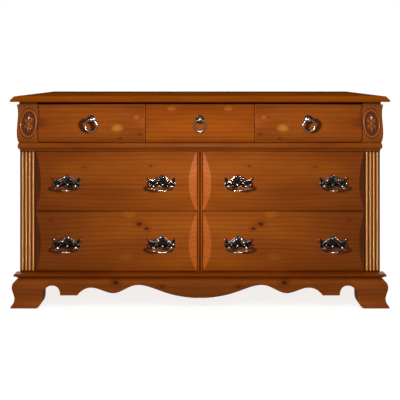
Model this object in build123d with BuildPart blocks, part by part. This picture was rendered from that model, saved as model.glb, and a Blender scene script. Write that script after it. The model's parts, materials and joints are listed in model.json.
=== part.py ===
from build123d import *
import os

# Seven-drawer pine dresser: three small drawers over two columns of large ones.
# Millimetres. +X is to the right, the front faces -Y, and the feet stand on Z = 0.

# Top board
top_width = 1680.0
top_depth = 483.0
top_thickness = 24.5
top_edge_inset = 12.5
top_nose_height = 8.0
top_nose_radius = 2.0

# Distance of the case from the edges of the top
front_overhang = 52.0
side_overhang = 19.0
back_overhang = 5.0

# Heights, from the floor up
base_height = 117.0
base_moulding_height = 21.0
drawer_gap = 3.0
row_height = 270.0
row_gap = 4.0
waist_height = 39.0
frieze_gap = 2.5
frieze_height = 172.0
frieze_top_gap = 13.0

# Case boards
side_thickness = 19.0
back_thickness = 6.0
partition_thickness = 19.0
shelf_thickness = 16.0
shelf_lift = 0.5
top_rail_depth = 40.0
top_rail_height = 20.0

# Posts on the front of the case
pilaster_width = 69.0
pilaster_thickness = 22.0
reed_count = 4
reed_middle_inset = 36.5
reed_pitch = 16.0
reed_radius = 6.5
reed_end_margin = 3.0
reed_bed_depth = 4.0
corner_block_width = 90.0
corner_neck_inset = 5.0
corner_neck_reach = 15.5
corner_foot_reach = 8.0
stile_width = 22.0
stile_setback = 1.0
stile_groove_width = 5.0
stile_groove_depth = 4.0

# Forward reach of the small drawers' ogee face, from its lower edge to its upper edge
ogee_reaches = (12.0, 28.0, 18.0, 28.0)
ogee_levels = (0.0, 0.28, 0.66, 1.0)

# Carved oval on the corner blocks
oval_width = 77.0
oval_height = 133.0
oval_middle_inset = 50.0
oval_rim = 8.0
oval_rise = 4.0
petal_count = 6
petal_length = 44.0
petal_width = 19.0
petal_rise = 3.0
rosette_eye_radius = 8.0

# Waist moulding
waist_fillet_height = 12.0
waist_fillet_reach = 1.0
waist_low_reach = 13.0
waist_high_reach = 21.0

# Base moulding, apron and feet
base_front_reach = 22.0
base_side_reach = 18.5
base_moulding_width = 70.0
base_nose_radius = 7.0
base_undercut = 11.5
base_return = 27.0
apron_thickness = 36.0
apron_reach = 36.0
apron_middle_z = 40.0
apron_middle_sag = 3.0
apron_flat_z = 51.0
apron_flat_width = 76.0
crest_outer_x = 470.0
crest_outer_z = 84.0
cusp_x = 382.0
cusp_z = 61.0
crest_inner_x = 300.0
crest_inner_z = 94.0
sweep_turn_share = 0.55
sweep_foot_share = 0.2
notch_width = 101.0
notch_top_z = 94.5
notch_shoulder = 19.5
notch_neck_share = 0.22
notch_shoulder_share = 0.27
notch_crown_share = 0.62
foot_side_reach = 18.5
foot_width = 115.0
foot_top_setback = 14.0
foot_shoulder = 5.0
foot_shoulder_z = 106.0
foot_bulge = 8.0
foot_bulge_z = 88.0
foot_waist = 0.0
foot_waist_z = 37.0
foot_toe = 12.0
foot_toe_z = 6.0
foot_step_x = 690.0
foot_plan_taper = 14.0
side_apron_thickness = 30.0
side_apron_depth = 45.0
side_foot_width = 90.0
side_arch_width = 70.0
arch_bend_share = 0.3
arch_rise_share = 0.6
rear_foot_thickness = 20.0
rear_foot_width = 80.0
rear_foot_flare = 40.0
rear_foot_bend_share = 0.15
glue_block_size = 28.0
glue_block_length = 60.0
glue_block_clearance = 12.0
glue_block_spacing = 340.0

# Large drawer fronts
drawer_edge_setback = 2.0
pillow_bulge = 28.0
bevel_width = 36.0
front_clearance = 0.3

# Drawer boxes
middle_drawer_width = 487.0
box_inset = 10.0
box_wall = 12.0
box_rear_room = 30.0
box_headroom = 70.0
small_box_headroom = 52.0
bottom_thickness = 6.0
bottom_lift = 8.0
groove_depth = 5.0
groove_clearance = 0.1
run_clearance = 0.3
guide_clearance = 0.5
guide_width = 13.5
guide_height = 14.0

# Hardware shared by both kinds of pull
plate_thickness = 2.0
plate_clearance = 0.2
flange_height = 2.0
screw_radius = 2.0
screw_hole_radius = 2.5
screw_thread_clearance = 0.1
screw_bite = 4.5
screw_tip_clearance = 0.5
screw_head_radius = 4.5
screw_head_height = 3.0

# Bail pulls: the plate's right-hand outline runs from the crown through its tips to the lower point
pull_spacing = 425.0
plate_crown = ((0, 36), (14, 31), (28, 19), (44, 13))
plate_upper_tip = ((44, 13), (52, 18), (61, 23))
plate_end_scroll = ((61, 23), (57, 9), (62, -4))
plate_lower_lobe = ((62, -4), (53, -15), (37, -21))
plate_lower_point = ((37, -21), (20, -13), (0, -22))
plate_outline = (plate_crown, plate_upper_tip, plate_end_scroll, plate_lower_lobe, plate_lower_point)
plate_reach = 64.0
piercing_radius = 4.0
piercing_x = 20.0
piercing_z = 6.0
bail_post_spacing = 78.0
bail_pivot_below_middle = 11.5
bail_stand_off = 9.8
bail_rod_radius = 3.2
bail_bore_radius = 3.8
bail_ball_radius = 6.2
bail_neck_radius = 4.2
bail_flange_radius = 7.5
bail_flange_clearance = 0.1
bail_pin_end = 3.0
bail_elbow = 13.5
bail_elbow_radius = 4.5
bail_shoulder_in = 8.0
bail_shoulder_drop = 12.0
bail_shoulder_radius = 14.0
bail_foot_half = 15.0
bail_drop = 20.0
bail_foot_radius = 40.0

# Ring pulls
ring_level = 0.605
ring_radius = 26.5
ring_rod_radius = 4.0
ring_clearance = 2.2
ring_ball_radius = 9.0
ring_bore_radius = 5.5
ring_neck_radius = 5.5
ring_flange_radius = 7.5
ring_seat_reach = 20.9
ring_flange_clearance = 0.2
ring_plate_radius = 19.0

# Planes and levels worked out from the sizes above
half_top = top_width / 2
front_y = -top_depth / 2
back_y = top_depth / 2
face_y = front_y + front_overhang
case_y = face_y + pilaster_thickness
case_back_y = back_y - back_overhang
back_panel_y = case_back_y - back_thickness
side_x = half_top - side_overhang
inner_x = side_x - side_thickness

case_z = base_height + base_moulding_height
low_row_z = case_z + drawer_gap
high_row_z = low_row_z + row_height + row_gap
waist_z = high_row_z + row_height + drawer_gap
frieze_z = waist_z + waist_height + frieze_gap
top_z = frieze_z + frieze_height + frieze_top_gap
overall_height = top_z + top_thickness

bottom_board_z = case_z + shelf_thickness
dust_panel_z = high_row_z + shelf_lift
waist_shelf_z = frieze_z + shelf_lift

front_back_y = case_y - front_clearance
edge_y = face_y + drawer_edge_setback
peak_y = face_y - pillow_bulge
box_end_y = back_panel_y - box_rear_room

pilaster_x = side_x - pilaster_width
drawer_outer_x = pilaster_x - drawer_gap
drawer_inner_x = stile_width / 2 + drawer_gap
block_x = side_x - corner_block_width
frieze_outer_x = block_x - drawer_gap
frieze_inner_x = middle_drawer_width / 2 + drawer_gap
divider_x = middle_drawer_width / 2 + drawer_gap / 2

# The seven drawers: name, left end, right end and lower edge of the front
drawers_small = (
    ("small_left", -frieze_outer_x, -frieze_inner_x),
    ("small_middle", -middle_drawer_width / 2, middle_drawer_width / 2),
    ("small_right", frieze_inner_x, frieze_outer_x),
)
drawers_large = (
    ("upper_left", -drawer_outer_x, -drawer_inner_x, high_row_z, dust_panel_z),
    ("upper_right", drawer_inner_x, drawer_outer_x, high_row_z, dust_panel_z),
    ("lower_left", -drawer_outer_x, -drawer_inner_x, low_row_z, bottom_board_z),
    ("lower_right", drawer_inner_x, drawer_outer_x, low_row_z, bottom_board_z),
)

os.makedirs("parts", exist_ok=True)


def save(builder, name):
    """Label a finished piece and write it as one file."""
    builder.part.label = name
    export_step(builder.part, f"parts/{name}.step")


def save_group(pieces, name):
    """Write separate pieces that share one node, each as its own solid."""
    group = Compound([solid for piece in pieces for solid in piece.solids()])
    group.label = name
    export_step(group, f"parts/{name}.step")


def block(low, high, mode=Mode.ADD):
    """Add or cut an upright rectangular block between two opposite corners."""
    size = [b - a for a, b in zip(low, high)]
    middle = [(a + b) / 2 for a, b in zip(low, high)]
    with Locations(tuple(middle)):
        Box(*size, mode=mode)


def board(name, low, high):
    """Make and write one plain board."""
    with BuildPart() as piece:
        block(low, high)
    save(piece, name)


def ogee_section(x, seat_y, forward=0.0):
    """Section of the ogee frieze at x, from its flat back to its face moved forward."""
    with BuildSketch(Plane.YZ.offset(x)) as section:
        points = [
            (face_y - reach - forward, frieze_z + level * frieze_height)
            for reach, level in zip(ogee_reaches, ogee_levels)
        ]
        with BuildLine():
            face = Spline(points)
            Polyline(face @ 1, (seat_y, frieze_z + frieze_height), (seat_y, frieze_z), face @ 0)
        make_face()
    return section.sketch


def pillow_section(x, low_z, forward=0.0):
    """Section of a large drawer's front at x, with its bulging face moved forward."""
    high_z = low_z + row_height
    with BuildSketch(Plane.YZ.offset(x)) as section:
        with BuildLine():
            face = ThreePointArc(
                (edge_y - forward, low_z),
                (peak_y - forward, low_z + row_height / 2),
                (edge_y - forward, high_z),
            )
            Polyline(face @ 1, (front_back_y, high_z), (front_back_y, low_z), face @ 0)
        make_face()
    return section.sketch


# Top board: upright nose with a sloping moulded edge above it on three sides
with BuildPart() as top_board:
    with BuildSketch(Plane.XY.offset(top_z)):
        Rectangle(top_width, top_depth)
    extrude(amount=top_nose_height)
    with BuildSketch(Plane.XY.offset(top_z + top_nose_height)):
        Rectangle(top_width, top_depth)
    with BuildSketch(Plane.XY.offset(overall_height)):
        with Locations((0, top_edge_inset / 2)):
            Rectangle(top_width - 2 * top_edge_inset, top_depth - top_edge_inset)
    loft()
    nose_edges = [
        edge
        for edge in top_board.edges().filter_by(lambda e: e.center().Y < back_y - top_nose_radius)
        if abs(edge.center().Z - top_z - top_nose_height) < top_nose_radius
        and edge.length > top_depth / 2
    ]
    fillet(nose_edges, radius=top_nose_radius)
save(top_board, "top_board")

# Case boards
board("left_side_panel", (-side_x, case_y, case_z), (-inner_x, case_back_y, top_z))
board("right_side_panel", (inner_x, case_y, case_z), (side_x, case_back_y, top_z))
board("back_panel", (-inner_x, back_panel_y, case_z), (inner_x, case_back_y, top_z))
board("bottom_board", (-inner_x, case_y, case_z), (inner_x, back_panel_y, bottom_board_z))
waist_shelf_low_z = waist_shelf_z - shelf_thickness
board("waist_shelf", (-inner_x, case_y, waist_shelf_low_z), (inner_x, back_panel_y, waist_shelf_z))
top_rail_z = top_z - top_rail_height
board("top_rail", (-inner_x, case_y, top_rail_z), (inner_x, case_y + top_rail_depth, top_z))

# Uprights: one between the columns and two between the small drawers
half_partition = partition_thickness / 2
with BuildPart() as partitions:
    block((-half_partition, case_y, bottom_board_z), (half_partition, back_panel_y, waist_shelf_low_z))
    for side in (-1, 1):
        with BuildSketch(Plane.YZ.offset(side * divider_x)):
            with BuildLine():
                Polyline(
                    (case_y, waist_shelf_z),
                    (back_panel_y, waist_shelf_z),
                    (back_panel_y, top_z),
                    (case_y + top_rail_depth, top_z),
                    (case_y + top_rail_depth, top_rail_z),
                    (case_y, top_rail_z),
                    close=True,
                )
            make_face()
        extrude(amount=half_partition, both=True)
save(partitions, "partitions")

with BuildPart() as dust_panels:
    for low_x, high_x in ((-inner_x, -half_partition), (half_partition, inner_x)):
        block((low_x, case_y, dust_panel_z - shelf_thickness), (high_x, back_panel_y, dust_panel_z))
save(dust_panels, "dust_panels")

# Pilasters with rounded reeds
reed_low_z = case_z + reed_end_margin + reed_radius
reed_high_z = waist_z - reed_end_margin - reed_radius
for name, low_x, reeds_x in (
    ("left_pilaster", -side_x, -side_x + reed_middle_inset),
    ("right_pilaster", pilaster_x, side_x - reed_middle_inset),
):
    with BuildPart() as pilaster:
        block(
            (low_x, face_y + reed_bed_depth, case_z),
            (low_x + pilaster_width, case_y, waist_z),
        )
        with Locations((reeds_x, face_y + reed_bed_depth, (reed_low_z + reed_high_z) / 2)):
            with GridLocations(reed_pitch, 1, reed_count, 1):
                Cylinder(reed_radius, reed_high_z - reed_low_z)
        for end_z in (reed_low_z, reed_high_z):
            with Locations((reeds_x, face_y + reed_bed_depth, end_z)):
                with GridLocations(reed_pitch, 1, reed_count, 1):
                    Sphere(reed_radius)
    save(pilaster, name)

# Corner blocks: ogee blocks with a raised oval rim, a six-petalled rosette, a neck and a foot
block_middle_z = frieze_z + frieze_height / 2
rim_plane = Plane.XZ.offset(-case_y)
carving_depth = pilaster_thickness + max(ogee_reaches) + oval_rise
for name, low_x, middle_x in (
    ("left_corner_block", -side_x, -side_x + oval_middle_inset),
    ("right_corner_block", block_x, side_x - oval_middle_inset),
):
    with BuildPart() as carving:
        with BuildSketch(rim_plane):
            with Locations((middle_x, block_middle_z)):
                Ellipse(oval_width / 2, oval_height / 2)
                Ellipse(oval_width / 2 - oval_rim, oval_height / 2 - oval_rim, mode=Mode.SUBTRACT)
        extrude(amount=carving_depth)
        extrude(ogee_section(low_x, case_y, oval_rise), amount=corner_block_width, mode=Mode.INTERSECT)
    with BuildPart() as rosette:
        with BuildSketch(rim_plane):
            for petal in range(petal_count):
                turn = 90 + 360 * petal / petal_count
                with Locations((middle_x, block_middle_z)):
                    with PolarLocations(petal_length / 2, 1, start_angle=turn):
                        Ellipse(petal_length / 2, petal_width / 2)
            with Locations((middle_x, block_middle_z)):
                Circle(rosette_eye_radius)
        extrude(amount=carving_depth)
        extrude(ogee_section(low_x, case_y, petal_rise), amount=corner_block_width, mode=Mode.INTERSECT)
    with BuildPart() as corner_block:
        extrude(ogee_section(low_x, case_y), amount=corner_block_width)
        add(carving.part)
        add(rosette.part)
        block(
            (low_x + corner_neck_inset, face_y - corner_neck_reach, frieze_z + frieze_height),
            (low_x + corner_block_width - corner_neck_inset, case_y, top_z),
        )
        block(
            (low_x, face_y - corner_foot_reach, waist_z + waist_height),
            (low_x + corner_block_width, case_y, frieze_z),
        )
    save(corner_block, name)

# Centre stile with a groove down its middle
with BuildPart() as centre_stile:
    block((-stile_width / 2, face_y + stile_setback, case_z), (stile_width / 2, case_y, waist_z))
    with BuildSketch(Plane.XY.offset(case_z)):
        with Locations((0, face_y + stile_setback)):
            Rectangle(stile_groove_width, 2 * stile_groove_depth)
    extrude(amount=waist_z - case_z, mode=Mode.SUBTRACT)
save(centre_stile, "centre_stile")

# Waist moulding: a rounded band over a recessed fillet
with BuildPart() as waist_moulding:
    with BuildSketch(Plane.YZ.offset(-side_x)):
        band_z = waist_z + waist_fillet_height
        waist_top_z = waist_z + waist_height
        with BuildLine():
            band = ThreePointArc(
                (face_y - waist_low_reach, band_z),
                (face_y - waist_high_reach, (band_z + waist_top_z) / 2),
                (face_y - waist_low_reach, waist_top_z),
            )
            Polyline(
                band @ 1,
                (case_y, waist_top_z),
                (case_y, waist_z),
                (face_y - waist_fillet_reach, waist_z),
                (face_y - waist_fillet_reach, band_z),
                band @ 0,
            )
        make_face()
    extrude(amount=2 * side_x)
save(waist_moulding, "waist_moulding")

# Base moulding: a frame under the case with a rounded nose along the front and short returns
nose_y = face_y - base_front_reach
nose_x = side_x + base_side_reach
nose_middle_z = case_z - base_nose_radius
frame_y = nose_y + base_moulding_width
frame_x = nose_x - base_moulding_width
with BuildPart() as base_moulding:
    with BuildSketch(Plane.YZ.offset(-nose_x)):
        with BuildLine():
            nose = ThreePointArc(
                (nose_y + base_nose_radius, case_z),
                (nose_y, nose_middle_z),
                (nose_y + base_nose_radius, nose_middle_z - base_nose_radius),
            )
            Polyline(
                nose @ 1,
                (nose_y + base_undercut, base_height),
                (case_back_y, base_height),
                (case_back_y, case_z),
                nose @ 0,
            )
        make_face()
    extrude(amount=2 * nose_x)
    with BuildSketch(Plane.XZ.offset(-case_back_y)):
        with BuildLine():
            nose = ThreePointArc(
                (base_nose_radius - nose_x, case_z),
                (-nose_x, nose_middle_z),
                (base_nose_radius - nose_x, nose_middle_z - base_nose_radius),
            )
            Polyline(
                nose @ 1,
                (base_undercut - nose_x, base_height),
                (0, base_height),
                (0, case_z),
                nose @ 0,
            )
        make_face()
        mirror(about=Plane.YZ)
    extrude(amount=case_back_y - nose_y, mode=Mode.INTERSECT)
    block((-frame_x, frame_y, base_height), (frame_x, case_back_y, case_z), mode=Mode.SUBTRACT)
    for low_x, high_x in ((-nose_x, -side_x), (side_x, nose_x)):
        block((low_x, nose_y + base_return, base_height), (high_x, case_back_y, case_z), mode=Mode.SUBTRACT)
save(base_moulding, "base_moulding")

# Outline of a foot's outer face, as height above the floor and reach past the apron
foot_reaches = (
    (base_height, -foot_top_setback),
    (foot_shoulder_z, foot_shoulder),
    (foot_bulge_z, foot_bulge),
    (foot_waist_z, foot_waist),
    (foot_toe_z, foot_toe),
)

# Front apron: scalloped board with an ogee foot at each end
apron_back_y = face_y - apron_reach + apron_thickness
foot_x = side_x + foot_side_reach - foot_toe
foot_inner_x = foot_x + foot_toe - foot_width
with BuildPart() as front_apron:
    with BuildSketch(Plane.XZ.offset(-apron_back_y)) as apron_outline:
        with BuildLine():
            outer = Spline([(-foot_x - reach, z) for z, reach in foot_reaches])
            toe = Line(outer @ 1, (-foot_x - foot_toe, 0))
            heel = Line(toe @ 1, (-foot_inner_x, 0))
            notch = Spline(
                heel @ 1,
                (-foot_inner_x + notch_width * notch_neck_share, foot_waist_z),
                (-foot_inner_x + notch_width * notch_shoulder_share, notch_top_z - notch_shoulder),
                (-foot_inner_x + notch_width * notch_crown_share, notch_top_z),
                (-foot_inner_x + notch_width, apron_flat_z),
            )
            flat = Line(notch @ 1, (-foot_inner_x + notch_width + apron_flat_width, apron_flat_z))
            Spline(
                flat @ 1,
                (-crest_outer_x, crest_outer_z),
                (-cusp_x, cusp_z),
                (-crest_inner_x, crest_inner_z),
                (-crest_inner_x * sweep_turn_share, (crest_inner_z + apron_middle_z) / 2),
                (-crest_inner_x * sweep_foot_share, apron_middle_z + apron_middle_sag),
                (0, apron_middle_z),
            )
            Polyline((0, apron_middle_z), (0, base_height), outer @ 0)
        make_face()
        mirror(about=Plane.YZ)
    extrude(amount=apron_thickness + foot_toe)
    with BuildSketch(Plane.YZ.offset(-half_top)):
        with BuildLine():
            face = Spline([(face_y - apron_reach - reach, z) for z, reach in foot_reaches])
            Polyline(
                face @ 1,
                (face_y - apron_reach - foot_toe, 0),
                (apron_back_y, 0),
                (apron_back_y, base_height),
                face @ 0,
            )
        make_face()
    extrude(amount=top_width, mode=Mode.INTERSECT)
    with BuildSketch():
        Polygon(
            (-half_top, apron_back_y),
            (half_top, apron_back_y),
            (half_top, face_y - apron_reach - foot_toe),
            (foot_step_x, face_y - apron_reach - foot_toe),
            (foot_step_x - foot_plan_taper, face_y - apron_reach),
            (foot_plan_taper - foot_step_x, face_y - apron_reach),
            (-foot_step_x, face_y - apron_reach - foot_toe),
            (-half_top, face_y - apron_reach - foot_toe),
            align=None,
        )
    extrude(amount=base_height, mode=Mode.INTERSECT)
save(front_apron, "front_apron")

# Side aprons: the feet's side faces joined by a plain board, behind the front apron
side_apron_x = foot_x - side_apron_thickness
side_foot_front_y = apron_back_y + side_foot_width
side_foot_rear_y = case_back_y - side_foot_width
side_aprons = []
for side in (-1, 1):
    with BuildPart() as side_apron:
        with BuildSketch(Plane.XZ.offset(-apron_back_y)):
            with BuildLine():
                outer = Spline([(side * (foot_x + reach), z) for z, reach in foot_reaches])
                Polyline(
                    outer @ 1,
                    (side * (foot_x + foot_toe), 0),
                    (side * side_apron_x, 0),
                    (side * side_apron_x, base_height),
                    outer @ 0,
                )
            make_face()
        extrude(amount=apron_back_y - case_back_y)
        with BuildSketch(Plane.YZ.offset(-half_top)):
            arch_z = base_height - side_apron_depth
            with BuildLine():
                front_arch = Spline(
                    (side_foot_front_y, 0),
                    (side_foot_front_y + side_arch_width * arch_bend_share, arch_z * arch_rise_share),
                    (side_foot_front_y + side_arch_width, arch_z),
                    tangents=((0.2, 1), (1, 0)),
                )
                rear_arch = Spline(
                    (side_foot_rear_y, 0),
                    (side_foot_rear_y - side_arch_width * arch_bend_share, arch_z * arch_rise_share),
                    (side_foot_rear_y - side_arch_width, arch_z),
                    tangents=((-0.2, 1), (-1, 0)),
                )
                Line(front_arch @ 1, rear_arch @ 1)
                Line(front_arch @ 0, rear_arch @ 0)
            make_face()
        extrude(amount=top_width, mode=Mode.SUBTRACT)
    side_aprons.append(side_apron.part)
save_group(side_aprons, "side_aprons")

# Rear feet: bracket boards across the back corners
rear_feet = []
for side in (-1, 1):
    with BuildPart() as rear_foot:
        with BuildSketch(Plane.XZ.offset(-case_back_y)):
            inner_low_x = side_apron_x - rear_foot_width
            with BuildLine():
                Polyline(
                    (side * (inner_low_x - rear_foot_flare), base_height),
                    (side * side_apron_x, base_height),
                    (side * side_apron_x, 0),
                    (side * inner_low_x, 0),
                )
                Spline(
                    (side * inner_low_x, 0),
                    (side * (inner_low_x - rear_foot_flare * rear_foot_bend_share), base_height / 2),
                    (side * (inner_low_x - rear_foot_flare), base_height),
                )
            make_face()
        extrude(amount=rear_foot_thickness)
    rear_feet.append(rear_foot.part)
save_group(rear_feet, "rear_feet")

# Glue blocks: one in each foot corner and four behind the front apron
glue_blocks = []
rear_corner_y = case_back_y - rear_foot_thickness - glue_block_size
for side in (-1, 1):
    low_x, high_x = sorted((side * side_apron_x, side * (side_apron_x - glue_block_size)))
    for corner_y in (apron_back_y, rear_corner_y):
        with BuildPart() as corner_glue_block:
            block((low_x, corner_y, glue_block_clearance), (high_x, corner_y + glue_block_size, base_height))
        glue_blocks.append(corner_glue_block.part)
for place in (-1.5, -0.5, 0.5, 1.5):
    with BuildPart() as apron_glue_block:
        block(
            (place * glue_block_spacing - glue_block_length / 2, apron_back_y, base_height - glue_block_size),
            (place * glue_block_spacing + glue_block_length / 2, apron_back_y + glue_block_size, base_height),
        )
    glue_blocks.append(apron_glue_block.part)
save_group(glue_blocks, "glue_blocks")


def drawer_box(name, left_x, right_x, low_z, wall_height):
    """Make one drawer's two sides and back in one node, and its bottom panel in another."""
    bottom_low_z = low_z + bottom_lift
    bottom_high_z = bottom_low_z + bottom_thickness
    walls = []
    for wall_low_x, groove_low_x in (
        (left_x, left_x + box_wall - groove_depth),
        (right_x - box_wall, right_x - box_wall),
    ):
        with BuildPart() as box_side:
            block((wall_low_x, front_back_y, low_z), (wall_low_x + box_wall, box_end_y, low_z + wall_height))
            block(
                (groove_low_x, front_back_y, bottom_low_z - groove_clearance),
                (groove_low_x + groove_depth, box_end_y, bottom_high_z + groove_clearance),
                mode=Mode.SUBTRACT,
            )
        walls.append(box_side.part)
    with BuildPart() as box_back:
        block(
            (left_x + box_wall, box_end_y - box_wall, bottom_high_z),
            (right_x - box_wall, box_end_y, low_z + wall_height),
        )
    walls.append(box_back.part)
    save_group(walls, f"{name}_box")
    panel_reach = box_wall - groove_depth + groove_clearance
    board(
        f"{name}_bottom",
        (left_x + panel_reach, front_back_y, bottom_low_z),
        (right_x - panel_reach, box_end_y, bottom_high_z),
    )


def screw(x, z, tip_y):
    """Make a pull screw from its head inside the drawer to its tip in the post."""
    with BuildPart() as pull_screw:
        with BuildSketch(Plane.XZ.offset(-front_back_y)):
            with Locations((x, z)):
                Circle(screw_radius)
        extrude(amount=front_back_y - tip_y)
        with BuildSketch(Plane.XZ.offset(-front_back_y)):
            with Locations((x, z)):
                Circle(screw_head_radius)
        extrude(amount=-screw_head_height)
        fillet(pull_screw.faces().sort_by(Axis.Y)[-1].edges(), radius=screw_head_height / 3)
    return pull_screw.part


def post(x, z, seat_y, pivot_y, ball_radius, bore_radius, neck_radius, flange_radius):
    """Make a pull's post: a flange on the plate, a neck and a ball with a cross bore."""
    with BuildPart() as pull_post:
        with BuildSketch(Plane.XZ.offset(-seat_y)):
            with Locations((x, z)):
                Circle(flange_radius)
        extrude(amount=flange_height)
        with BuildSketch(Plane.XZ.offset(-seat_y)):
            with Locations((x, z)):
                Circle(neck_radius)
        extrude(amount=seat_y - pivot_y)
        with Locations((x, pivot_y, z)):
            Sphere(ball_radius, rotation=(0, 0, -90))
        with BuildSketch(Plane.YZ.offset(x)):
            with Locations((pivot_y, z)):
                Circle(bore_radius)
        extrude(amount=2 * ball_radius, both=True, mode=Mode.SUBTRACT)
        with BuildSketch(Plane.XZ.offset(-seat_y)):
            with Locations((x, z)):
                Circle(screw_radius + screw_thread_clearance)
        extrude(amount=screw_bite, mode=Mode.SUBTRACT)
    return pull_post.part


def pull_plane(x, z):
    """Upright plane behind the drawer fronts with its origin at a pull."""
    return Plane(origin=(x, case_y, z), x_dir=(1, 0, 0), z_dir=(0, -1, 0))


def curved_plate(outline, lower_skin, upper_skin):
    """Cut a flat outline to a thin plate that follows the drawer's face."""
    with BuildPart() as plate:
        extrude(outline, amount=top_depth)
        extrude(upper_skin, amount=2 * plate_reach, mode=Mode.INTERSECT)
        extrude(lower_skin, amount=2 * plate_reach, mode=Mode.SUBTRACT)
    return plate.part


def bail_plate(x, z, low_z):
    """Make a bail pull's pierced plate around its middle."""
    with BuildSketch(pull_plane(x, z)) as outline:
        with BuildLine():
            for stretch in plate_outline:
                Spline(*stretch)
            Line(plate_lower_point[-1], plate_crown[0])
        make_face()
        mirror(about=Plane.YZ)
        with Locations((-piercing_x, piercing_z), (piercing_x, piercing_z)):
            Circle(piercing_radius, mode=Mode.SUBTRACT)
        with Locations((0, -bail_pivot_below_middle)):
            with GridLocations(bail_post_spacing, 1, 2, 1):
                Circle(screw_hole_radius, mode=Mode.SUBTRACT)
    return curved_plate(
        outline.sketch,
        pillow_section(x - plate_reach, low_z, plate_clearance),
        pillow_section(x - plate_reach, low_z, plate_clearance + plate_thickness),
    )


def ring_plate(x, z):
    """Make a ring pull's round plate around its post."""
    with BuildSketch(pull_plane(x, z)) as outline:
        Circle(ring_plate_radius)
        Circle(screw_hole_radius, mode=Mode.SUBTRACT)
    return curved_plate(
        outline.sketch,
        ogee_section(x - plate_reach, front_back_y, plate_clearance),
        ogee_section(x - plate_reach, front_back_y, plate_clearance + plate_thickness),
    )


def bail(name, x, pivot_y, pivot_z):
    """Make a hanging bail with its two pins in the posts."""
    half_span = bail_post_spacing / 2
    right_side = [
        (bail_foot_half, -bail_drop),
        (half_span + bail_elbow - bail_shoulder_in, -bail_shoulder_drop),
        (half_span + bail_elbow, 0),
        (half_span - bail_ball_radius - bail_pin_end, 0),
    ]
    route = [(-along, down) for along, down in reversed(right_side)] + right_side
    bends = [bail_elbow_radius, bail_shoulder_radius, bail_foot_radius]
    with BuildPart() as hanging_bail:
        with BuildLine(Plane.XZ.offset(-pivot_y)) as path:
            FilletPolyline([(x + along, pivot_z + down) for along, down in route], radius=bends + bends[::-1])
        with BuildSketch(Plane(origin=path.wire() @ 0, z_dir=path.wire() % 0)):
            Circle(bail_rod_radius)
        sweep()
    save(hanging_bail, name)


# Small drawers: ogee front, box, bottom and ring pull
ring_pivot_z = frieze_z + ring_level * frieze_height
ring_pivot_y = face_y - max(ogee_reaches) - ring_clearance - ring_rod_radius
ring_seat_y = face_y - ring_seat_reach - plate_clearance - plate_thickness - ring_flange_clearance
small_box_z = waist_shelf_z + run_clearance
for name, left_x, right_x in drawers_small:
    middle_x = (left_x + right_x) / 2
    with BuildPart() as small_front:
        extrude(ogee_section(left_x, front_back_y), amount=right_x - left_x)
        with BuildSketch(Plane.XZ.offset(-case_y)):
            with Locations((middle_x, ring_pivot_z)):
                Circle(screw_hole_radius)
        extrude(amount=top_depth, mode=Mode.SUBTRACT)
    save(small_front, f"{name}_front")
    drawer_box(name, left_x + box_inset, right_x - box_inset, small_box_z, frieze_height - small_box_headroom)
    ring_post = post(
        middle_x,
        ring_pivot_z,
        ring_seat_y,
        ring_pivot_y,
        ring_ball_radius,
        ring_bore_radius,
        ring_neck_radius,
        ring_flange_radius,
    )
    ring_screw = screw(middle_x, ring_pivot_z, ring_seat_y - screw_bite + screw_tip_clearance)
    save_group([ring_plate(middle_x, ring_pivot_z), ring_post, ring_screw], f"{name}_pull_mount")
    with BuildPart() as pull_ring:
        with Locations(Location((middle_x, ring_pivot_y, ring_pivot_z - ring_radius), (90, 0, 0))):
            Torus(ring_radius, ring_rod_radius)
    save(pull_ring, f"{name}_ring")

# Large drawers: bulging front with bevelled ends, box, bottom and two bail pulls
bail_seat_y = peak_y - plate_clearance - plate_thickness - bail_flange_clearance
bail_pivot_y = bail_seat_y - bail_stand_off
for name, left_x, right_x, low_z, shelf_z in drawers_large:
    middle_z = low_z + row_height / 2
    pivot_z = middle_z - bail_pivot_below_middle
    pull_xs = [(left_x + right_x + side * pull_spacing) / 2 for side in (-1, 1)]
    post_xs = [x + side * bail_post_spacing / 2 for x in pull_xs for side in (-1, 1)]
    with BuildPart() as large_front:
        extrude(pillow_section(left_x, low_z), amount=right_x - left_x)
        with BuildSketch(Plane.XY.offset(low_z)):
            Polygon(
                (left_x, front_back_y),
                (right_x, front_back_y),
                (right_x, edge_y),
                (right_x - bevel_width, peak_y),
                (left_x + bevel_width, peak_y),
                (left_x, edge_y),
                align=None,
            )
        extrude(amount=row_height, mode=Mode.INTERSECT)
        with BuildSketch(Plane.XZ.offset(-case_y)):
            with Locations(*[(x, pivot_z) for x in post_xs]):
                Circle(screw_hole_radius)
        extrude(amount=top_depth, mode=Mode.SUBTRACT)
    save(large_front, f"{name}_front")
    large_box_z = shelf_z + run_clearance
    drawer_box(name, left_x + box_inset, right_x - box_inset, large_box_z, row_height - box_headroom)
    mount_pieces = [bail_plate(x, middle_z, low_z) for x in pull_xs]
    for x in post_xs:
        mount_pieces.append(
            post(
                x,
                pivot_z,
                bail_seat_y,
                bail_pivot_y,
                bail_ball_radius,
                bail_bore_radius,
                bail_neck_radius,
                bail_flange_radius,
            )
        )
        mount_pieces.append(screw(x, pivot_z, bail_seat_y - screw_bite + screw_tip_clearance))
    save_group(mount_pieces, f"{name}_pull_mounts")
    for side_name, x in zip(("left", "right"), pull_xs):
        bail(f"{name}_{side_name}_bail", x, bail_pivot_y, pivot_z)

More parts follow.
